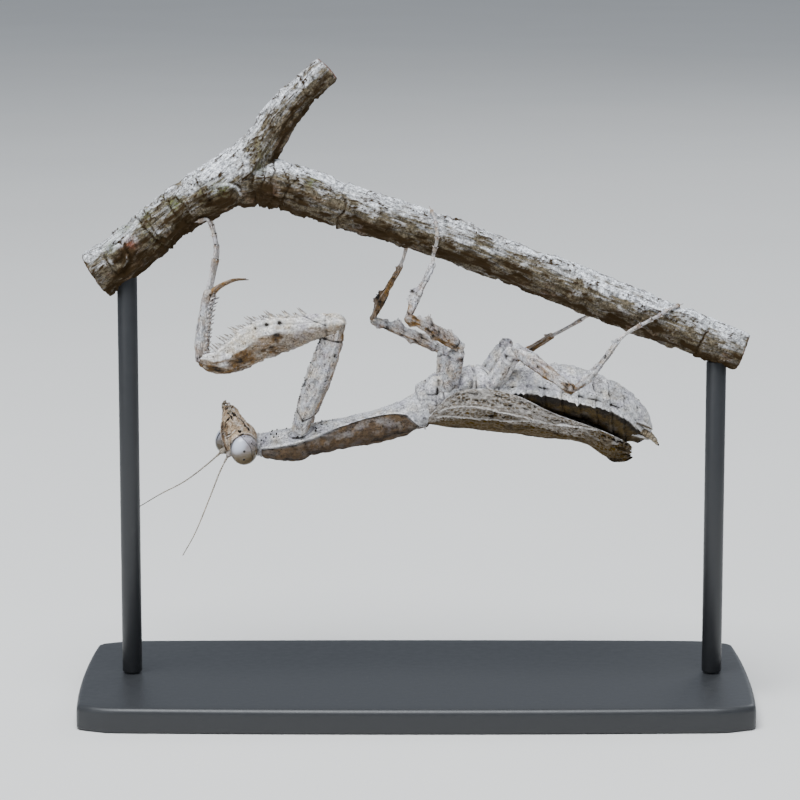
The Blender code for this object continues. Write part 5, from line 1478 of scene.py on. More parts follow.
# Places along each feeler, from the head outwards.
FEELERS = {
    "right": ((-29.3, -2.3, 41.4), (-30.15, -2.7, 40.2), (-31.4, -3.0, 37.7), (-33.1, -3.6, 33.4),
              (-35.2, -4.6, 28.4), (-37.2, -6.0, 24.9)),
    "left": ((-30.2, -1.0, 41.5), (-31.3, -0.9, 40.6), (-33.9, 0.6, 38.1), (-37.4, 2.4, 35.2),
             (-41.4, 4.0, 32.8), (-44.9, 5.2, 30.5)),
}


def build_feelers(look, radius):
    """Thread-like feelers: a thick first joint, a shorter second one, then forty small beads that
    narrow to the tip.  Four-jointed palps hang beside the mouth."""
    for side, knots in FEELERS.items():
        dense = even_rows(knots, 260)
        part = np.linspace(0, 1, 260)
        thick = (radius * (1.15 - 0.6 * part) + 0.26 * (1 - smoothstep(part, 0.06, 0.085))
                 + 0.05 * (1 - smoothstep(part, 0.12, 0.14)))
        rows = np.column_stack((dense, thick, thick, thick))
        skin = Skin(rows, (0.2, 1.0, 0.1), 420, 14, (0.12, 0.06))
        beads = np.abs(np.sin(skin.t * math.pi * 46))
        skin.push(radius * 0.22 * (beads - 0.6) * smoothstep(skin.t, 0.12, 0.16))
        skin.paint(warm=0.55 - 0.3 * skin.t,
                   dark=0.5 * smoothstep(beads, 0.3, 0.0) * smoothstep(skin.t, 0.12, 0.16)
                   + 0.5 * bell(skin.t - 0.078, 0.01) + 0.55 * smoothstep(skin.t, 0.55, 1.0),
                   pale=0.25 * (1 - skin.t))
        make_piece(f"feeler_{side}", [skin.shell()], look, (f"antenna_{side}",))
    turn = head_turn()
    for side, sign in (("right", 1.0), ("left", -1.0)):
        palp = jointed([(sign * 0.75, 0.2, -5.4), (sign * 1.15, 0.7, -6.4), (sign * 0.95, 0.6, -7.3),
                        (sign * 0.5, 0.4, -7.8)],
                       (0.26, 0.27, 0.24, 0.14), 4, 121)
        palp.place(turn, HEAD_PLACE)
        make_piece(f"jointed_palp_{side}", [palp.shell()], look, (f"palp_{side}",))


# ----------------------------------------------------------------------------------------- the legs

# Right foreleg, as rows of (x, y, z, half width across the leg, half height on each edge).
FORE_COXA = (
    (-18.5, -2.2, 44.4, 1.1, 1.2), (-17.7, -2.9, 47.4, 1.15, 1.5), (-15.6, -3.5, 53.0, 1.2, 1.9),
    (-13.6, -3.9, 58.6, 1.15, 1.75), (-13.0, -4.2, 61.2, 1.05, 1.5),
)
FORE_FEMUR = (
    (-12.6, -4.4, 61.8, 1.15, 1.75), (-16.5, -4.5, 61.4, 1.3, 2.0), (-21.5, -4.6, 60.3, 1.35, 2.65),
    (-24.6, -4.6, 59.3, 1.35, 2.75), (-28.8, -4.6, 56.9, 1.15, 2.35), (-31.6, -4.6, 55.8, 1.0, 1.8),
    (-33.7, -4.6, 56.2, 0.85, 1.15),
)
FORE_TIBIA = (
    (-34.1, -4.6, 56.2, 0.65, 0.8), (-34.1, -4.6, 59.0, 0.65, 0.9), (-33.5, -4.5, 64.2, 0.6, 0.75),
    (-32.8, -4.4, 66.9, 0.6, 0.75),
)
# Warm and dark bands, as (part of the length, half length, strength).
FORE_TIBIA_STAINS = (((0.1, 0.2, 0.35), (0.95, 0.1, 0.5)),
                     ((0.04, 0.03, 0.5), (0.96, 0.03, 0.45), (0.5, 0.02, 0.3)))
FORE_CLAW = (
    (-33.0, -4.4, 66.4, 0.55), (-31.6, -4.4, 67.8, 0.36), (-30.4, -4.4, 68.5, 0.28),
    (-28.8, -4.4, 69.1, 0.2), (-26.9, -4.4, 69.2, 0.1),
)
# Foot: free points, and then places on the branch as (x, degrees round the bark from below).
FORE_FOOT = ((-33.0, -4.3, 67.0), (-32.2, -3.8, 70.7), (-31.7, -3.3, 74.4))
FORE_FOOTHOLDS = ((-34.6, 30.0), (-35.8, 44.0))
LEFT_FORELEG_SHIFT = (0.0, 0.0, -1.4)

# Walking legs, as paths from the body outwards.  A foot has free points (x, y, z) and then places on
# the branch (x, degrees round the bark from below, positive towards -Y).
WALKING_LEGS = {
    "midleg_right": {
        "coxa": ((5.2, -1.8, 51.0), (6.4, -3.8, 57.3)),
        "femur": ((7.0, -3.9, 58.1), (5.2, -5.2, 59.6), (1.2, -8.2, 62.4), (-1.2, -10.0, 63.7)),
        "tibia": ((-1.2, -10.0, 63.9), (-0.2, -8.4, 66.4), (2.6, -4.8, 71.4)),
        "foot": ((2.6, -4.7, 71.3), (3.6, 46), (3.3, 88), (2.4, 124), (1.3, 156)),
    },
    "midleg_left": {
        "coxa": ((4.6, 1.8, 50.8), (4.8, 3.7, 56.0)),
        "femur": ((4.5, 3.9, 56.3), (0.2, 5.2, 58.3), (-5.3, 7.4, 60.2), (-6.8, 8.0, 60.6)),
        "tibia": ((-6.9, 8.0, 61.0), (-5.9, 7.2, 63.4), (-2.6, 5.0, 69.7)),
        "foot": ((-2.6, 5.0, 69.7), (-1.9, 3.9, 71.7), (-0.6, -42), (-1.4, -80), (-2.4, -115),
                 (-3.3, -138)),
    },
    "hindleg_right": {
        "coxa": ((12.2, -1.9, 51.4), (15.3, -3.9, 57.3)),
        "femur": ((15.7, -3.9, 57.8), (18.2, -6.6, 56.5), (21.4, -10.0, 54.6), (24.2, -13.0, 53.0)),
        "tibia": ((24.3, -13.0, 53.0), (25.9, -11.6, 53.6), (28.8, -8.2, 56.0), (31.8, -4.9, 59.3)),
        "foot": ((31.8, -4.9, 59.3), (33.4, -4.1, 60.5), (36.0, 66), (37.9, 104), (39.1, 130), (40.4, 158)),
    },
    "hindleg_left": {
        "coxa": ((10.4, 1.9, 51.6), (14.6, 3.9, 57.2)),
        "femur": ((14.7, 4.0, 57.3), (14.3, 7.4, 56.2), (13.6, 15.0, 51.6)),
        "tibia": ((13.7, 15.0, 51.6), (18.8, 8.5, 56.0), (21.8, 5.4, 58.5)),
        "foot": ((21.8, 5.4, 58.5), (24.6, 3.7, 60.3), (28.8, -14), (30.5, -50), (32.0, -90), (32.8, -125)),
    },
}
TOWARDS = {"coxa": (1.0, 0.0, 0.0), "femur": UP, "tibia": (-1.0, 0.0, 0.4)}
# Part of the length, half width, half height.
PROFILES = {
    "coxa": ((0.0, 1.55, 1.8), (0.3, 1.4, 1.5), (0.6, 1.35, 1.45), (0.85, 1.3, 1.35), (1.0, 1.2, 1.3)),
    "femur": ((0.0, 0.95, 1.1), (0.07, 0.85, 0.95), (0.13, 0.95, 1.15), (0.35, 0.9, 1.2), (0.75, 0.72, 0.9),
              (0.9, 0.72, 0.85), (1.0, 0.68, 0.82)),
    "tibia": ((0.0, 0.55, 0.6), (0.08, 0.42, 0.5), (0.3, 0.5, 0.72), (0.6, 0.4, 0.5), (0.92, 0.36, 0.42),
              (1.0, 0.42, 0.48)),
}
LEG_GRIDS = {"coxa": (100, 64), "femur": (170, 60), "tibia": (170, 48)}     # rings and sides of each skin
JOINT_RINGS = {"coxa": (0.93, 0.28), "femur": (0.10, 0.45)}     # part of the length, and darkness
# Thickness of some parts, the profile's being 1.
SLIM = {"hindleg_left_tibia": 1.25, "midleg_left_femur": 0.8, "midleg_left_tibia": 0.9,
        "midleg_right_femur": 0.92}
# Leafy lobes and spurs of a part, or of the same part on both sides: rows of (part of the length,
# height, half length, degrees from the rise edge).
LOBES = {
    "midleg_right_femur": ((0.28, 0.5, 0.05, 0), (0.68, 1.0, 0.07, 0), (0.84, 0.5, 0.03, 0),
                           (0.50, 0.45, 0.06, 180), (0.93, 0.4, 0.05, 180)),
    "midleg_left_femur": ((0.28, 0.5, 0.05, 0), (0.68, 1.0, 0.07, 0), (0.84, 0.5, 0.03, 0),
                          (0.45, 0.4, 0.05, 180), (0.93, 0.4, 0.05, 180)),
    "midleg_tibia": ((0.32, 0.55, 0.09, 0), (0.45, 0.6, 0.06, 0), (0.97, 0.35, 0.02, 0)),
    "hindleg_femur": ((0.30, 0.25, 0.10, 0), (0.55, 0.25, 0.12, 180), (0.93, 0.3, 0.05, 180)),
    "hindleg_tibia": ((0.955, 0.75, 0.02, 0), (0.3, 0.15, 0.08, 0)),
}
# Stains of each part: warm and dark bands as (part of the length, half length, strength).
STAINS = {
    "midleg_right_femur": (((0.45, 0.35, 0.4), (0.95, 0.1, 0.8)),
                           ((0.10, 0.03, 0.5), (0.5, 0.03, 0.5), (0.62, 0.03, 0.4), (0.97, 0.05, 0.4))),
    "midleg_left_femur": (((0.5, 0.3, 0.25),), ((0.35, 0.04, 0.5), (0.58, 0.03, 0.55), (0.8, 0.03, 0.4),
                                                (0.98, 0.04, 0.5))),
    "midleg_left_tibia": (((0.5, 0.6, 0.95),), ((0.36, 0.09, 0.75), (0.05, 0.05, 0.4), (0.8, 0.03, 0.3))),
    "midleg_right_tibia": (((0.1, 0.1, 0.6), (0.6, 0.1, 0.3)),
                           ((0.06, 0.05, 0.6), (0.4, 0.03, 0.5), (0.72, 0.03, 0.5))),
    "hindleg_right_femur": (((0.6, 0.25, 0.4), (0.97, 0.05, 0.7)), ((0.25, 0.02, 0.4), (0.98, 0.05, 0.6))),
    "hindleg_right_tibia": (((0.05, 0.08, 0.6),), ((0.03, 0.04, 0.6), (0.35, 0.03, 0.4), (0.7, 0.03, 0.4))),
    "hindleg_left_femur": (((0.6, 0.25, 0.5),), ((0.4, 0.04, 0.4),)),
    "hindleg_left_tibia": (((0.5, 0.7, 0.7),), ((0.3, 0.05, 0.4), (0.7, 0.05, 0.4))),
}
PLAIN_STAINS = ((), ((0.9, 0.03, 0.5),))


def on_branch(limb, x, angle, lift):
    """Point `lift` above the bark at x, with the angle in degrees from below, positive towards -Y."""
    path = limb_path(limb)
    before, here, after = (np.array([np.interp(x + step, path[:, 0], path[:, column])
                                     for column in range(4)])
                           for step in (-1.0, 0.0, 1.0))
    tangent = unit(after[:3] - before[:3])
    across = unit(np.cross(UP, tangent))
    rise = np.cross(tangent, across)
    turn = math.radians(angle)
    return here[:3] - (here[3] + lift) * (math.cos(turn) * rise + math.sin(turn) * across)


def mirrored(rows, side):
    """A foreleg's rows for its side: the left one is the mirror image, a little lower."""
    if side == "right":
        return [tuple(row) for row in rows]
    x, y, z = LEFT_FORELEG_SHIFT
    return [(row[0] + x, y - row[1], row[2] + z, *row[3:]) for row in rows]


def both_edges(rows):
    """Rows whose last number is the half height of both edges."""
    return [(*row[:4], row[4], row[4]) for row in rows]


def limb_skin(rows, toward, rings, sides, ends, seed, ridges=5, ridge_height=0.06, lump=0.09, power=2.0,
              lobes=(), stains=((), ())):
    """Limb with lengthwise ridges (a cosine of the turn), lumps (noise), fins and a coloured skin."""
    skin = Skin(rows, toward, rings, sides, ends, power)
    middle = smoothstep(skin.t, 0.0, 0.08) * (1 - smoothstep(skin.t, 0.92, 1.0))
    ridge = np.cos(ridges * skin.angle + 0.6) * (0.6 + 0.4 * wander(skin.grid, 1.5, seed + 1, 2))
    rough = wander(skin.grid, 0.9, seed, 4)
    lines = wander(skin.rolled(skin.t * skin.length * 0.4, 2), 0.8, seed + 2, 3)
    skin.push(ridge_height * ridge * middle + lump * rough + 0.06 * lines)
    fins = np.zeros(skin.grid.shape[:2])
    for part, height, half, degrees in lobes:
        turn = math.radians(90 + degrees)
        ragged = 1 + 0.35 * streaks_of(skin.t * 60, 1.0, seed + 3, 2)
        fin = height * bell(skin.t - part, half) * bell(turn_gap(skin.angle, turn), 0.34) * ragged
        skin.lift(fin if degrees == 0 else -fin)
        fins = fins + np.abs(fin)
    warm, dark = np.zeros(fins.shape), np.zeros(fins.shape)
    wobble = 0.04 * rough + 0.03 * np.cos(2 * skin.angle)
    for part, half, strength in stains[0]:
        warm = np.maximum(warm, strength * bell(skin.t + wobble - part, half))
    for part, half, strength in stains[1]:
        dark = np.maximum(dark, strength * bell(skin.t + wobble - part, half))
    # Warmer and darker on the lower side, in the furrows between the ridges and in the dents: painted shade.
    under = smoothstep(-(skin.normals()[..., 2] + 0.3 * rough), 0.1, 0.8)
    skin.paint(warm=0.08 + warm + 0.15 * smoothstep(lines, 0.1, 0.5) + 0.55 * under,
               pale=0.5 * smoothstep(ridge, 0.4, 0.9) * middle + 0.6 * np.clip(fins, 0, 1),
               dark=dark + 0.35 * smoothstep(-ridge, 0.45, 0.85) * middle
               + 0.30 * smoothstep(lines, 0.25, 0.6) + 0.4 * smoothstep(-rough, 0.45, 0.9)
               + 0.25 * under * smoothstep(lines, -0.2, 0.3))
    return skin


def edge_points(skin, parts, turn, depth):
    """Points on a skin at parts of its length and a turn, with its tangents and rise there."""
    rings = np.abs(skin.t[:, 0][None] - np.asarray(parts)[:, None])
    rings[:, (skin.t[:, 0] <= 0) | (skin.t[:, 0] >= 1)] = 9
    ring = rings.argmin(1)
    side = np.abs(turn_gap(skin.angle[0], turn)).argmin()
    out = unit(skin.grid[ring, side] - skin.centres[ring, 0])
    return skin.grid[ring, side] - out * depth, skin.tangent[ring, 0], out


def build_foreleg(looks, side, spine_length):
    """Raptorial foreleg: three-sided coxa with white warts on its front edge, deep femur with long and
    short spines in turn along its cutting edge, tibia with close-set teeth and a hooked claw, and a
    thin foot of five joints."""
    femur_look, pale_look, foot_look = looks
    sign = SIDES[side]
    near = 0.0 if side == "right" else math.pi     # the turn that faces outwards on this side
    name = f"foreleg_{side}"

    coxa = Skin(both_edges(mirrored(FORE_COXA, side)), (-1, 0, 0), 190, 84, (0.5, 0.9), power=1.7)
    outer = math.pi if side == "right" else 0.0
    rough = wander(coxa.grid, 0.9, 131, 4)
    keel = bell(turn_gap(coxa.angle, QUARTER), 0.16) + bell(turn_gap(coxa.angle, outer - 0.5 * sign), 0.15)
    notch = (bell(coxa.t - 0.12 - 0.05 * np.abs(turn_gap(coxa.angle, outer)), 0.012)
             + bell(coxa.t - 0.90, 0.012))
    band = bell(turn_gap(coxa.angle, -QUARTER), 0.5)
    lines = wander(coxa.rolled(coxa.t * 9, 3), 1.0, 132, 3)
    coxa.push(0.10 * rough + 0.13 * keel - 0.16 * notch + 0.07 * lines)
    coxa.paint(dark=0.8 * notch + 0.28 * smoothstep(lines, 0.3, 0.6)
               + 0.5 * smoothstep(wander(coxa.grid, 0.8, 133, 2), 0.4, 0.6)
               * smoothstep(coxa.t, 0.2, 0.35),
               warm=0.15 + 0.6 * band + 0.3 * smoothstep(coxa.t, 0.8, 1.0), pale=0.55 * keel)
    stay_put(f"{name}_coxa", coxa.grid.reshape(-1, 3), f"{name}_coxa", 0.8)
    warts = scatter_grains(coxa, 120, 134, lambda t, a: (np.abs(turn_gap(a, QUARTER)) < 0.35) & (t > 0.1),
                           0.10, 0.19, height=1.3)
    grains = scatter_grains(coxa, 220, 135, lambda t, a: t > 0.03, 0.05, 0.11)
    make_piece(f"{name}_coxa_skin", [coxa.shell(), warts, grains], pale_look,
               (f"{name}_coxa",))

    femur = Skin(both_edges(mirrored(FORE_FEMUR, side)), UP, 260, 110, (1.3, 0.8), power=1.8)
    rough = wander(femur.grid, 1.0, 136, 4)
    height = np.sin(femur.angle) * np.ones_like(femur.t)
    lamella = bell(turn_gap(femur.angle, -QUARTER), 0.20)
    groove = bell(height + 0.55, 0.09)
    upper_groove = bell(height - 0.62 + 0.08 * np.sin(femur.t * 9), 0.07)
    trochanter = bell(femur.t - 0.06 - 0.02 * np.cos(femur.angle - near), 0.012)
    knee = bell(femur.t - 0.90 + 0.03 * height, 0.014)
    lines = wander(femur.grid * (0.35, 1, 1), 0.8, 137, 3)
    femur.push(0.10 * rough - 0.14 * groove - 0.10 * upper_groove - 0.16 * trochanter - 0.10 * knee
               + 0.05 * lines
               + 0.10 * bell(femur.t - 0.955, 0.03))
    ragged = 0.75 + 0.5 * streaks_of(femur.t * 30, 1.0, 138, 2)
    femur.lift(0.55 * bell(femur.t - 0.60, 0.22) * smoothstep(height, 0.3, 0.9))
    femur.lift(-0.32 * lamella * ragged * smoothstep(femur.t, 0.12, 0.3)
               * (1 - smoothstep(femur.t, 0.75, 0.9)))
    bottom = smoothstep(-height, 0.45, 0.75)
    blots = smoothstep(wander(femur.grid * (0.6, 1, 1), 0.9, 139, 3), 0.0, 0.3)
    strands = smoothstep(np.abs(wander(femur.grid * (0.25, 1.3, 1.3), 0.9, 148, 2)), 0.16, 0.0)
    freckles = smoothstep(wander(femur.grid * (0.5, 1, 1), 0.5, 147, 3), -0.1, 0.4)
    spots = np.zeros_like(height)
    for part, wide in ((0.385, 0.48), (0.475, 0.3), (0.545, 0.26)):
        spot = bell((femur.t - part) * femur.length, wide) * bell((height - 0.72) * 2.4, 0.8 * wide)
        spots = np.maximum(spots, spot)
    # The base is a smooth lobe, cut off by a slanting furrow.
    slant = (femur.t - 0.05 - 0.17 * height) * femur.length
    furrow = bell(slant, 0.16) * smoothstep(height, 0.0, 0.25)
    lobe = smoothstep(-slant, 0.0, 0.8) * smoothstep(height, 0.0, 0.3)
    femur.push(0.22 * lobe - 0.16 * furrow)
    # Bands along the femur: white above, tan, a brown mottled stripe, and a yellowish cutting edge.
    wave = height + 0.10 * np.sin(femur.t * 11) + 0.16 * lines
    knee_half = smoothstep(femur.t, 0.33, 0.46)
    tan = smoothstep((0.32 + 0.22 * (1 - knee_half) - wave) / (1 + 2.6 * (1 - knee_half)), 0.0, 0.22)
    patch = bell((femur.t - 0.86) * femur.length, 0.8) * bell(wave + 0.3, 0.22)
    # A dark clot where the brown bands begin, a line along the border of the tan half, and a yellowish edge.
    clot = bell((femur.t - 0.43) * femur.length, 1.0) * bell(wave + 0.08, 0.30)
    ragged_low = 0.25 * wander(femur.grid, 0.7, 149, 3)
    brown = bell((femur.t - 0.73) * femur.length, 2.6) * bell(wave + 0.36 + ragged_low, 0.34)
    by_knee = bell((femur.t - 0.90) * femur.length, 1.6) * bell(wave + 0.70 + ragged_low, 0.25)
    brown = np.maximum.reduce((brown, by_knee, 0.6 * blots * knee_half * tan, clot))
    border = (bell(wave - 0.20, 0.06) * knee_half * (1 - smoothstep(femur.t, 0.80, 0.90))
              * smoothstep(lines, -0.5, 0.0))
    # Painted shade in the furrow and the grooves, and on the lower side towards the base.
    femur.paint(warm=0.03 + tan * (0.70 - 0.10 * (1 - knee_half) - 0.26 * strands * knee_half)
                + 0.45 * brown + 0.5 * border,
                pale=0.72 * (1 - tan) * smoothstep(lines, -0.7, 0.0) + 0.2 * lamella + 0.9 * patch,
                dark=0.9 * spots + 0.6 * furrow + 0.42 * border
                + brown * (0.20 + 0.45 * freckles) * (1 - 0.5 * strands)
                + 0.45 * clot + 0.12 * freckles * tan + 0.16 * bottom * (1 - knee_half) + 0.5 * trochanter
                + 0.35 * groove * knee_half * smoothstep(lines, -0.2, 0.4) + 0.3 * knee
                + 0.45 * upper_groove * smoothstep(lines, 0.0, 0.3) - 0.8 * patch)
    stay_put(f"{name}_femur", femur.grid.reshape(-1, 3), f"{name}_femur", 1.6)
    shells = [femur.shell(), scatter_grains(femur, 300, 140, lambda t, a: t > 0.03, 0.05, 0.12)]
    # Outer spines lean to the knee and a little outwards; inner ones are shorter and more in number.
    for turn, count, long, short, seed in ((QUARTER - 0.28, 13, 1.9, 1.0, 141),
                                           (QUARTER + 0.28, 14, 1.3, 0.8, 142)):
        turn = turn if side == "right" else math.pi - turn
        parts = np.linspace(0.20, 0.88, count)
        roots, tangents, out = edge_points(femur, parts, turn, 0.12)
        length = np.where(np.arange(count) % 2 == 0, long, short) * spine_length
        length = length * (1 + 0.12 * np.random.default_rng(seed).uniform(-1, 1, count))
        tips = roots + unit(0.75 * out + 0.85 * tangents + (0, 0, 0.35)) * (length + 0.12)[:, None]
        shells.append(spines(roots, tips, 0.15 + 0.05 * length, sides=8, bend=(-0.10, 0, 0.06),
                             dark_from=0.93))
    make_piece(f"{name}_femur_skin", shells, femur_look, (f"{name}_femur",))

    tibia = limb_skin(both_edges(mirrored(FORE_TIBIA, side)), (1, 0, 0), 130, 48, (0.4, 0.6), 143, ridges=4,
                      ridge_height=0.05, lump=0.06, power=1.8, stains=FORE_TIBIA_STAINS)
    shells = [tibia.shell()]
    for turn, count, seed in ((QUARTER - 0.35, 13, 144), (QUARTER + 0.35, 9, 145)):
        parts = np.linspace(0.12, 0.93, count)
        roots, tangents, out = edge_points(tibia, parts, turn, 0.1)
        length = (np.linspace(0.45, 1.0, count) * spine_length
                  * (1 + 0.1 * np.random.default_rng(seed).uniform(-1, 1, count)))
        tips = roots + unit(out + 0.75 * tangents) * (length + 0.1)[:, None]
        shells.append(spines(roots, tips, 0.15, sides=8, dark_from=0.5))
    claw = mirrored(FORE_CLAW, side)
    rows = [(x, y, z, *(radius * 0.72,) * 3) for x, y, z, radius in claw]
    hook = Skin(rows, (0.3, 0, 1), 80, 26, (0.3, 0.1))
    hook.paint(warm=0.85, pale=0.0,
               dark=0.16 + 0.4 * smoothstep(hook.t, 0.45, 1.0) * np.ones(hook.grid.shape[:2]))
    shells.append(hook.shell())
    make_piece(f"{name}_tibia_skin", shells, pale_look, (f"{name}_tibia",))

    foot = mirrored(FORE_FOOT, side)
    holds = [on_branch("left", x, angle if side == "right" else -angle, 0.5) for x, angle in FORE_FOOTHOLDS]
    build_foot(f"{name}_foot", [*foot, *holds], foot_look, f"{name}_tarsus", 151)


def build_foot(name, points, look, node, seed):
    """Foot: a long first joint, four shorter ones with small spurs, and two claws."""
    points = np.array([point[:3] for point in points], float)
    dense = catmull(points, 200)
    part = travelled(dense)
    joints = np.array((0.0, 0.40, 0.56, 0.69, 0.79, 1.0))
    thick = 0.29 - 0.05 * part
    curve = np.column_stack((dense, thick, thick, thick))
    skin = Skin(curve, (0.3, 0.5, 0.8), 220, 20, (0.15, 0.12))
    which = np.clip(np.searchsorted(joints, skin.t) - 1, 0, len(joints) - 2)
    inside = (skin.t - joints[which]) / (joints[which + 1] - joints[which])
    seam = bell((np.abs(skin.t[..., None] - joints[1:-1]).min(-1)) * skin.length, 0.09)
    skin.push(0.09 * smoothstep(inside, 0.55, 0.97) - 0.10 * seam + 0.03 * wander(skin.grid, 0.4, seed, 2))
    skin.paint(warm=0.3 + 0.4 * smoothstep(inside, 0.6, 1.0) + 0 * skin.angle, dark=0.7 * seam
               + 0.35 * smoothstep(wander(skin.grid, 0.8, seed + 1, 2), 0.0, 0.5),
               pale=0.3 * bell(inside - 0.35, 0.3) + 0 * skin.angle)
    shells = [skin.shell()]
    for turn in (QUARTER, -QUARTER, 0.0, math.pi):
        roots, tangents, out = edge_points(skin, joints[1:-1] - 0.012, turn, 0.06)
        shells.append(spines(roots, roots + unit(out + 0.9 * tangents) * 0.34, 0.10, dark_from=0.8))
    end, way = dense[-1], unit(dense[-1] - dense[-6])
    off = unit(np.cross(way, (0.3, 0.5, 0.8)))
    roots = np.stack((end - way * 0.1 + off * 0.08, end - way * 0.1 - off * 0.08))
    tips = np.stack((end + way * 0.85 + off * 0.45, end + way * 0.85 - off * 0.45))
    shells.append(spines(roots, tips, 0.12, sides=8, dark_from=0.35))
    make_piece(name, shells, look, (node,))


def build_walking_leg(looks, name, number):
    """Walking leg: coxa with a ring near its outer end, femur with its small trochanter, tibia with fins
    and spurs, and the foot that clasps the branch."""
    leg_look, foot_look = looks
    paths = WALKING_LEGS[name]
    for step, (part, toward) in enumerate(TOWARDS.items()):
        key = f"{name}_{part}"
        slim = SLIM.get(key, 1.0)
        rows = profiled(paths[part], [(share, width * slim, height * slim)
                                      for share, width, height in PROFILES[part]])
        ridges, ridge_height = (6, 0.15) if part == "coxa" else (5, 0.08)
        lobes = LOBES.get(key) or LOBES.get(f"{name.split('_')[0]}_{part}", ())
        skin = limb_skin(rows, toward, *LEG_GRIDS[part], (0.4, 0.6), 160 + 10 * number + step,
                         ridges=ridges,
                         ridge_height=ridge_height, lobes=lobes, stains=STAINS.get(key, PLAIN_STAINS))
        if part in JOINT_RINGS:
            place, tone = JOINT_RINGS[part]
            ring = bell((skin.t - place) * skin.length, 0.13)
            skin.push(-0.09 * ring).paint(dark=tone * ring)
        if key.startswith("hindleg") and part == "coxa":
            skin.paint(pale=0.35)
        stay_put(key, skin.grid.reshape(-1, 3), key, 0.9)
        grains = scatter_grains(skin, 130, 165 + 10 * number + step, lambda t, a: t > 0.03, 0.045, 0.10)
        make_piece(f"{key}_skin", [skin.shell(), grains], leg_look, (key,))
    holds = [point if len(point) == 3 else on_branch("right", *point, 0.5) for point in paths["foot"]]
    build_foot(f"{name}_foot", holds, foot_look, f"{name}_tarsus", 170 + 10 * number)


# ------------------------------------------------------------------------------------------ settings

def colour_setting(label, code, what):
    """Colour property with a hex colour as its usual value."""
    return FloatVectorProperty(name=label, description=what, subtype="COLOR", size=3, min=0.0, max=1.0,
                               default=srgb(code))


class MantisSizes(bpy.types.PropertyGroup):
    """Reliefs and thin parts that a user may want to change."""
    bark_relief: FloatProperty(
        name="Bark relief", description="Height of the cracks and flakes, 1 being the real one",
        default=1.0, min=0.0, max=2.0)
    vein_height: FloatProperty(
        name="Vein height", description="Height of the wing veins, 1 being the real one",
        default=1.0, min=0.0, max=2.0)
    spine_length: FloatProperty(
        name="Spine length", description="Length of the foreleg spines, 1 being the real one",
        default=1.0, min=0.2, max=1.4)
    feeler_radius: FloatProperty(
        name="Feeler radius", description="Radius of a feeler past its first joints",
        default=0.12 * MM, min=0.05 * MM, max=0.3 * MM, precision=5, unit="LENGTH")
    eye_spot: FloatProperty(
        name="Eye spot radius", description="Radius of the dark spots on each eye",
        default=0.17 * MM, min=0.0, max=0.5 * MM, precision=5, unit="LENGTH")


class MantisColours(bpy.types.PropertyGroup):
    """Colours of the model, before stains and shading."""
    cuticle: colour_setting("Cuticle", "dddde0", "Main colour of the body and legs")
    cuticle_pale: colour_setting("Pale cuticle", "f1efee", "Ridges, margins and warts")
    cuticle_warm: colour_setting("Brown cuticle", "66513a", "Back, flanks and bands on the legs")
    back_warm: colour_setting("Back", "57441c", "Olive-brown back of the abdomen")
    # The dark colour also paints shade in grooves and on lower sides.
    cuticle_dark: colour_setting("Dark marks", "1b130a", "Pores, seams and blotches")
    femur: colour_setting("Fore femur", "d9d0c2", "Main colour of the fore femora")
    femur_warm: colour_setting("Fore femur bands", "6c4f29", "Tan middle of the fore femora")
    face: colour_setting("Face", "d8b993", "Main colour of the head")
    face_warm: colour_setting("Face stains", "75583a", "Brown of the head")
    eye: colour_setting("Eye", "b4b0ba", "Lilac grey of the compound eyes")
    # The eye highlight colour is painted onto the upper front of the eyes; the tan darkens their lower side
    # partly as painted shade.
    eye_highlight: colour_setting("Eye front", "d3d9e8", "Bluish front of the compound eyes")
    eye_warm: colour_setting("Eye edge", "655741", "Tan of the compound eyes")
    leg_warm: colour_setting("Leg stains", "9a723a", "Ochre bands of the walking legs")
    feeler: colour_setting("Feelers", "b8a888", "Feelers, palps and tail feelers")
    wing: colour_setting("Wing", "857a6c", "Membrane of the forewings")
    # The wing field brown is darkened partly as painted shade on the lower field.
    wing_warm: colour_setting("Wing field", "4c390c", "Brown hind field of the forewings")
    bark: colour_setting("Bark", "6a604e", "Weathered bark")
    # The pale bark paints the light on the branch's top, and the dark bark the shade on its underside and in
    # its cracks.
    bark_pale: colour_setting("Bleached bark", "f0f2f6", "Upper side of the branch")
    bark_dark: colour_setting("Dark bark", "33240d", "Underside and cracks of the branch")
    bark_warm: colour_setting("Bare wood", "74402e", "Red-brown wood where bark is missing")
    moss: colour_setting("Moss", "525c24", "Moss in the bark")
    stand: colour_setting("Stand", "2b2c2e", "Painted steel of the stand")
    floor: colour_setting("Floor", "e2e0dc", "Pale floor of the stage")


def palette(**keys):
    """Colours from the settings, by the part that each plays in a material."""
    colours = bpy.context.scene.mantis_colours
    return {part: tuple(getattr(colours, key)) for part, key in keys.items()}


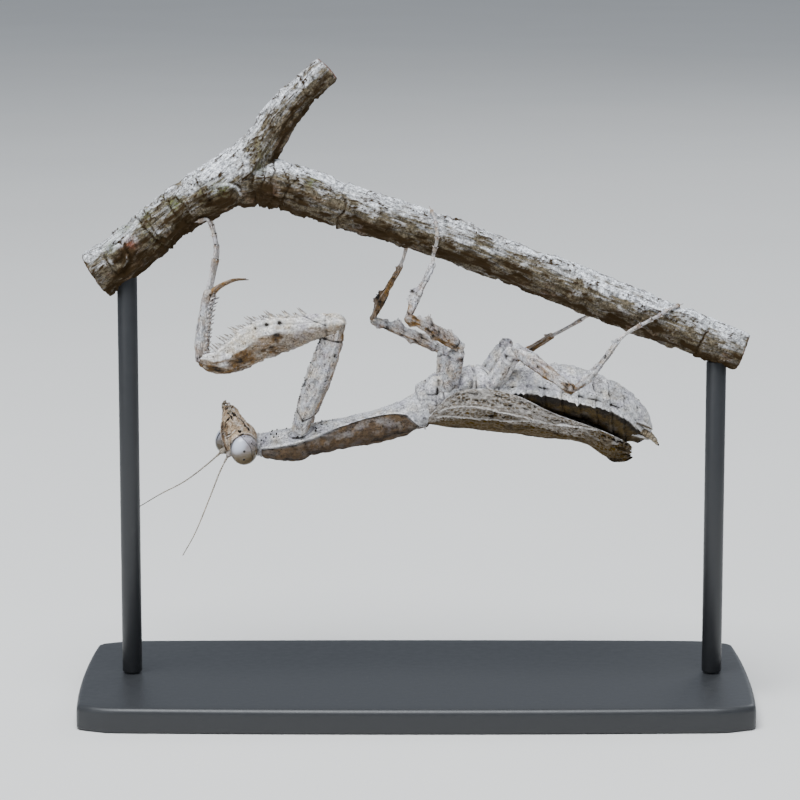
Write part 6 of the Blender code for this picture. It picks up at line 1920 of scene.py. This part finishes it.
# Cuticles, by their colour settings and the values that differ from the usual ones.
CUTICLES = {
    "waxy_body_cuticle": {"streak": (14.0, 26.0), "bump": 0.7, "crackle": 0.3},
    "abdomen_cuticle": {"warm": "back_warm", "streak": (14.0, 26.0), "bump": 0.7, "crackle": 0.3},
    "tail_cuticle": {"base": "feeler"},
    "face_cuticle": {"base": "face", "warm": "face_warm", "speck": 0.3, "mottle": 0.9, "bump": 0.4,
                     "speck_amount": 0.3, "streak": (8.0, 22.0), "crackle": 0.25, "tints": 0.15},
    "feeler_cuticle": {"base": "feeler", "speck": 0.3, "mottle": 1.0, "bump": 0.2, "speck_amount": 0.2},
    "banded_femur_cuticle": {"base": "femur", "warm": "femur_warm", "streak": (5.0, 20.0), "mottle": 1.1,
                             "crackle": 0.2},
    "waxy_leg_cuticle": {"warm": "leg_warm", "streak": (4.0, 15.0), "mottle": 1.2, "bump": 0.7,
                         "crackle": 0.55},
    "foot_cuticle": {"warm": "leg_warm", "streak": (9.0, 6.0), "speck": 0.3, "mottle": 1.0,
                     "speck_amount": 0.3},
}


def skin_look(name):
    """The named cuticle, made once and shared."""
    if name in bpy.data.materials:
        return bpy.data.materials[name]
    options = {"base": "cuticle", "warm": "cuticle_warm", **CUTICLES[name]}
    colours = palette(base=options.pop("base"), warm=options.pop("warm"), pale="cuticle_pale",
                      dark="cuticle_dark")
    return cuticle(name, colours, **options)


# --------------------------------------------------------------------------------------------- stage

FLOOR_REACH = 4.0                              # metres
SKY_COLOUR, SKY_STRENGTH = (0.72, 0.80, 0.92, 1.0), 0.45
LAMP_COLOUR = (0.92, 0.96, 1.0)
LAMP_TARGET = Vector((0.0, 0.0, 0.055))        # metres
# Name, place and width in metres, power in watts.
LAMPS = (
    ("sky_light", (-0.12, -0.30, 0.95), 0.7, 17.5),
    ("side_light", (-0.75, -0.75, 0.45), 0.6, 1.5),
    ("rim_light", (0.5, 0.8, 0.6), 0.5, 2.0),
)
CAMERA_TARGET = Vector((-2.56, 0.0, 49.0)) * MM
CAMERA_DISTANCE = 0.55                         # metres
CAMERA_ELEVATION = math.radians(10.0)
SENSOR_WIDTH = 36.0
VIEW_WIDTH = 0.128                             # metres across the view at the target


def aimed(name, data, place, target):
    """Object at a place, linked to the scene, that looks at a target."""
    thing = bpy.data.objects.new(name, data)
    thing.location = place
    thing.rotation_euler = (target - thing.location).to_track_quat("-Z", "Y").to_euler()
    bpy.context.scene.collection.objects.link(thing)
    return thing


def lay_floor(look):
    """Square floor at Z = 0."""
    mesh = bpy.data.meshes.new("floor")
    corners = [(x * FLOOR_REACH, y * FLOOR_REACH, 0) for x, y in ((-1, -1), (1, -1), (1, 1), (-1, 1))]
    mesh.from_pydata(corners, [], [(0, 1, 2, 3)])
    mesh.materials.append(look)
    floor = bpy.data.objects.new("floor", mesh)
    bpy.context.scene.collection.objects.link(floor)


def set_sky():
    """Even pale light from all round."""
    world = bpy.data.worlds.new("pale_sky")
    world.use_nodes = True
    background = world.node_tree.nodes["Background"]
    background.inputs["Color"].default_value = SKY_COLOUR
    background.inputs["Strength"].default_value = SKY_STRENGTH
    bpy.context.scene.world = world


def hang_lamps():
    """Round area lights."""
    for name, place, size, power in LAMPS:
        light = bpy.data.lights.new(name, "AREA")
        light.shape = "DISK"
        light.size = size
        light.energy = power
        light.color = LAMP_COLOUR
        aimed(name, light, place, LAMP_TARGET)


def place_camera():
    """Camera a little above level, in front of the mantis's right side."""
    camera = bpy.data.cameras.new("camera")
    camera.sensor_width = SENSOR_WIDTH
    camera.lens = SENSOR_WIDTH * CAMERA_DISTANCE / VIEW_WIDTH
    camera.clip_start = 0.01
    back = Vector((0.0, -math.cos(CAMERA_ELEVATION), math.sin(CAMERA_ELEVATION))) * CAMERA_DISTANCE
    bpy.context.scene.camera = aimed("camera", camera, CAMERA_TARGET + back, CAMERA_TARGET)


# ----------------------------------------------------------------------------------------- operators

class MANTIS_OT_branch(bpy.types.Operator):
    """Build the forked branch"""
    bl_idname = "mantis.branch"
    bl_label = "Branch"

    def execute(self, context):
        colours = palette(base="bark", warm="bark_warm", pale="bark_pale", dark="bark_dark", moss="moss")
        build_branch(bark("weathered_bark", colours), context.scene.mantis_sizes.bark_relief)
        return {"FINISHED"}


class MANTIS_OT_stand(bpy.types.Operator):
    """Build the base and rods of the display stand"""
    bl_idname = "mantis.stand"
    bl_label = "Stand"

    def execute(self, context):
        build_stand(painted_steel("satin_painted_steel", tuple(context.scene.mantis_colours.stand)))
        return {"FINISHED"}


class MANTIS_OT_trunk(bpy.types.Operator):
    """Build the neck, thorax and abdomen"""
    bl_idname = "mantis.trunk"
    bl_label = "Trunk"

    def execute(self, context):
        look = skin_look("waxy_body_cuticle")
        build_neck(look)
        build_prothorax(look)
        build_pterothorax(look)
        build_abdomen(skin_look("abdomen_cuticle"), skin_look("tail_cuticle"))
        return {"FINISHED"}


class MANTIS_OT_wings(bpy.types.Operator):
    """Build the two folded forewings"""
    bl_idname = "mantis.wings"
    bl_label = "Wings"

    def execute(self, context):
        colours = palette(base="wing", warm="wing_warm", pale="cuticle_pale", dark="cuticle_dark")
        look = tegmen("leathery_forewing", colours)
        for side in SIDES:
            build_wing(look, side, context.scene.mantis_sizes.vein_height)
        return {"FINISHED"}


class MANTIS_OT_head(bpy.types.Operator):
    """Build the head capsule with its jaws"""
    bl_idname = "mantis.head"
    bl_label = "Head"

    def execute(self, context):
        build_head(skin_look("face_cuticle"))
        return {"FINISHED"}


class MANTIS_OT_eyes(bpy.types.Operator):
    """Build the compound eyes"""
    bl_idname = "mantis.eyes"
    bl_label = "Eyes"

    def execute(self, context):
        colours = palette(base="eye", warm="eye_warm", pale="eye_highlight", dark="cuticle_dark")
        build_eyes(colours, context.scene.mantis_sizes.eye_spot / MM)
        return {"FINISHED"}


class MANTIS_OT_feelers(bpy.types.Operator):
    """Build the feelers and palps"""
    bl_idname = "mantis.feelers"
    bl_label = "Feelers and palps"

    def execute(self, context):
        build_feelers(skin_look("feeler_cuticle"), context.scene.mantis_sizes.feeler_radius / MM)
        return {"FINISHED"}


class MANTIS_OT_forelegs(bpy.types.Operator):
    """Build the two raptorial forelegs"""
    bl_idname = "mantis.forelegs"
    bl_label = "Forelegs"

    def execute(self, context):
        looks = [skin_look(name) for name in ("banded_femur_cuticle", "waxy_leg_cuticle", "foot_cuticle")]
        for side in SIDES:
            build_foreleg(looks, side, context.scene.mantis_sizes.spine_length)
        return {"FINISHED"}


class MANTIS_OT_walking_legs(bpy.types.Operator):
    """Build the four walking legs"""
    bl_idname = "mantis.walking_legs"
    bl_label = "Walking legs"

    def execute(self, context):
        looks = [skin_look(name) for name in ("waxy_leg_cuticle", "foot_cuticle")]
        for number, name in enumerate(WALKING_LEGS):
            build_walking_leg(looks, name, number)
        return {"FINISHED"}


class MANTIS_OT_stage(bpy.types.Operator):
    """Lay the floor, hang the lights and place the camera"""
    bl_idname = "mantis.stage"
    bl_label = "Stage"

    def execute(self, context):
        lay_floor(matt_backdrop("matt_board", tuple(context.scene.mantis_colours.floor)))
        set_sky()
        hang_lamps()
        place_camera()
        return {"FINISHED"}


STEPS = (MANTIS_OT_branch, MANTIS_OT_stand, MANTIS_OT_trunk, MANTIS_OT_wings, MANTIS_OT_head,
         MANTIS_OT_eyes,
         MANTIS_OT_feelers, MANTIS_OT_forelegs, MANTIS_OT_walking_legs, MANTIS_OT_stage)


class MANTIS_PT_panel(bpy.types.Panel):
    """Steps of the build, its sizes and its colours"""
    bl_idname = "MANTIS_PT_panel"
    bl_label = "Twig mantis"
    bl_space_type = "VIEW_3D"
    bl_region_type = "UI"
    bl_category = "Mantis"

    def draw(self, context):
        for step in STEPS:
            self.layout.operator(step.bl_idname)
        for group in (context.scene.mantis_sizes, context.scene.mantis_colours):
            box = self.layout.box()
            for key in group.__annotations__:
                box.prop(group, key)


CLASSES = (MantisSizes, MantisColours, *STEPS, MANTIS_PT_panel)


def register():
    """Add the settings, the steps and the panel."""
    for item in CLASSES:
        bpy.utils.register_class(item)
    bpy.types.Scene.mantis_sizes = PointerProperty(type=MantisSizes)
    bpy.types.Scene.mantis_colours = PointerProperty(type=MantisColours)


def unregister():
    """Remove what register() added."""
    del bpy.types.Scene.mantis_colours
    del bpy.types.Scene.mantis_sizes
    for item in reversed(CLASSES):
        bpy.utils.unregister_class(item)


def main():
    """Run all the steps."""
    register()
    for step in STEPS:
        section, action = step.bl_idname.split(".")
        getattr(getattr(bpy.ops, section), action)()


if __name__ == "__main__":
    main()
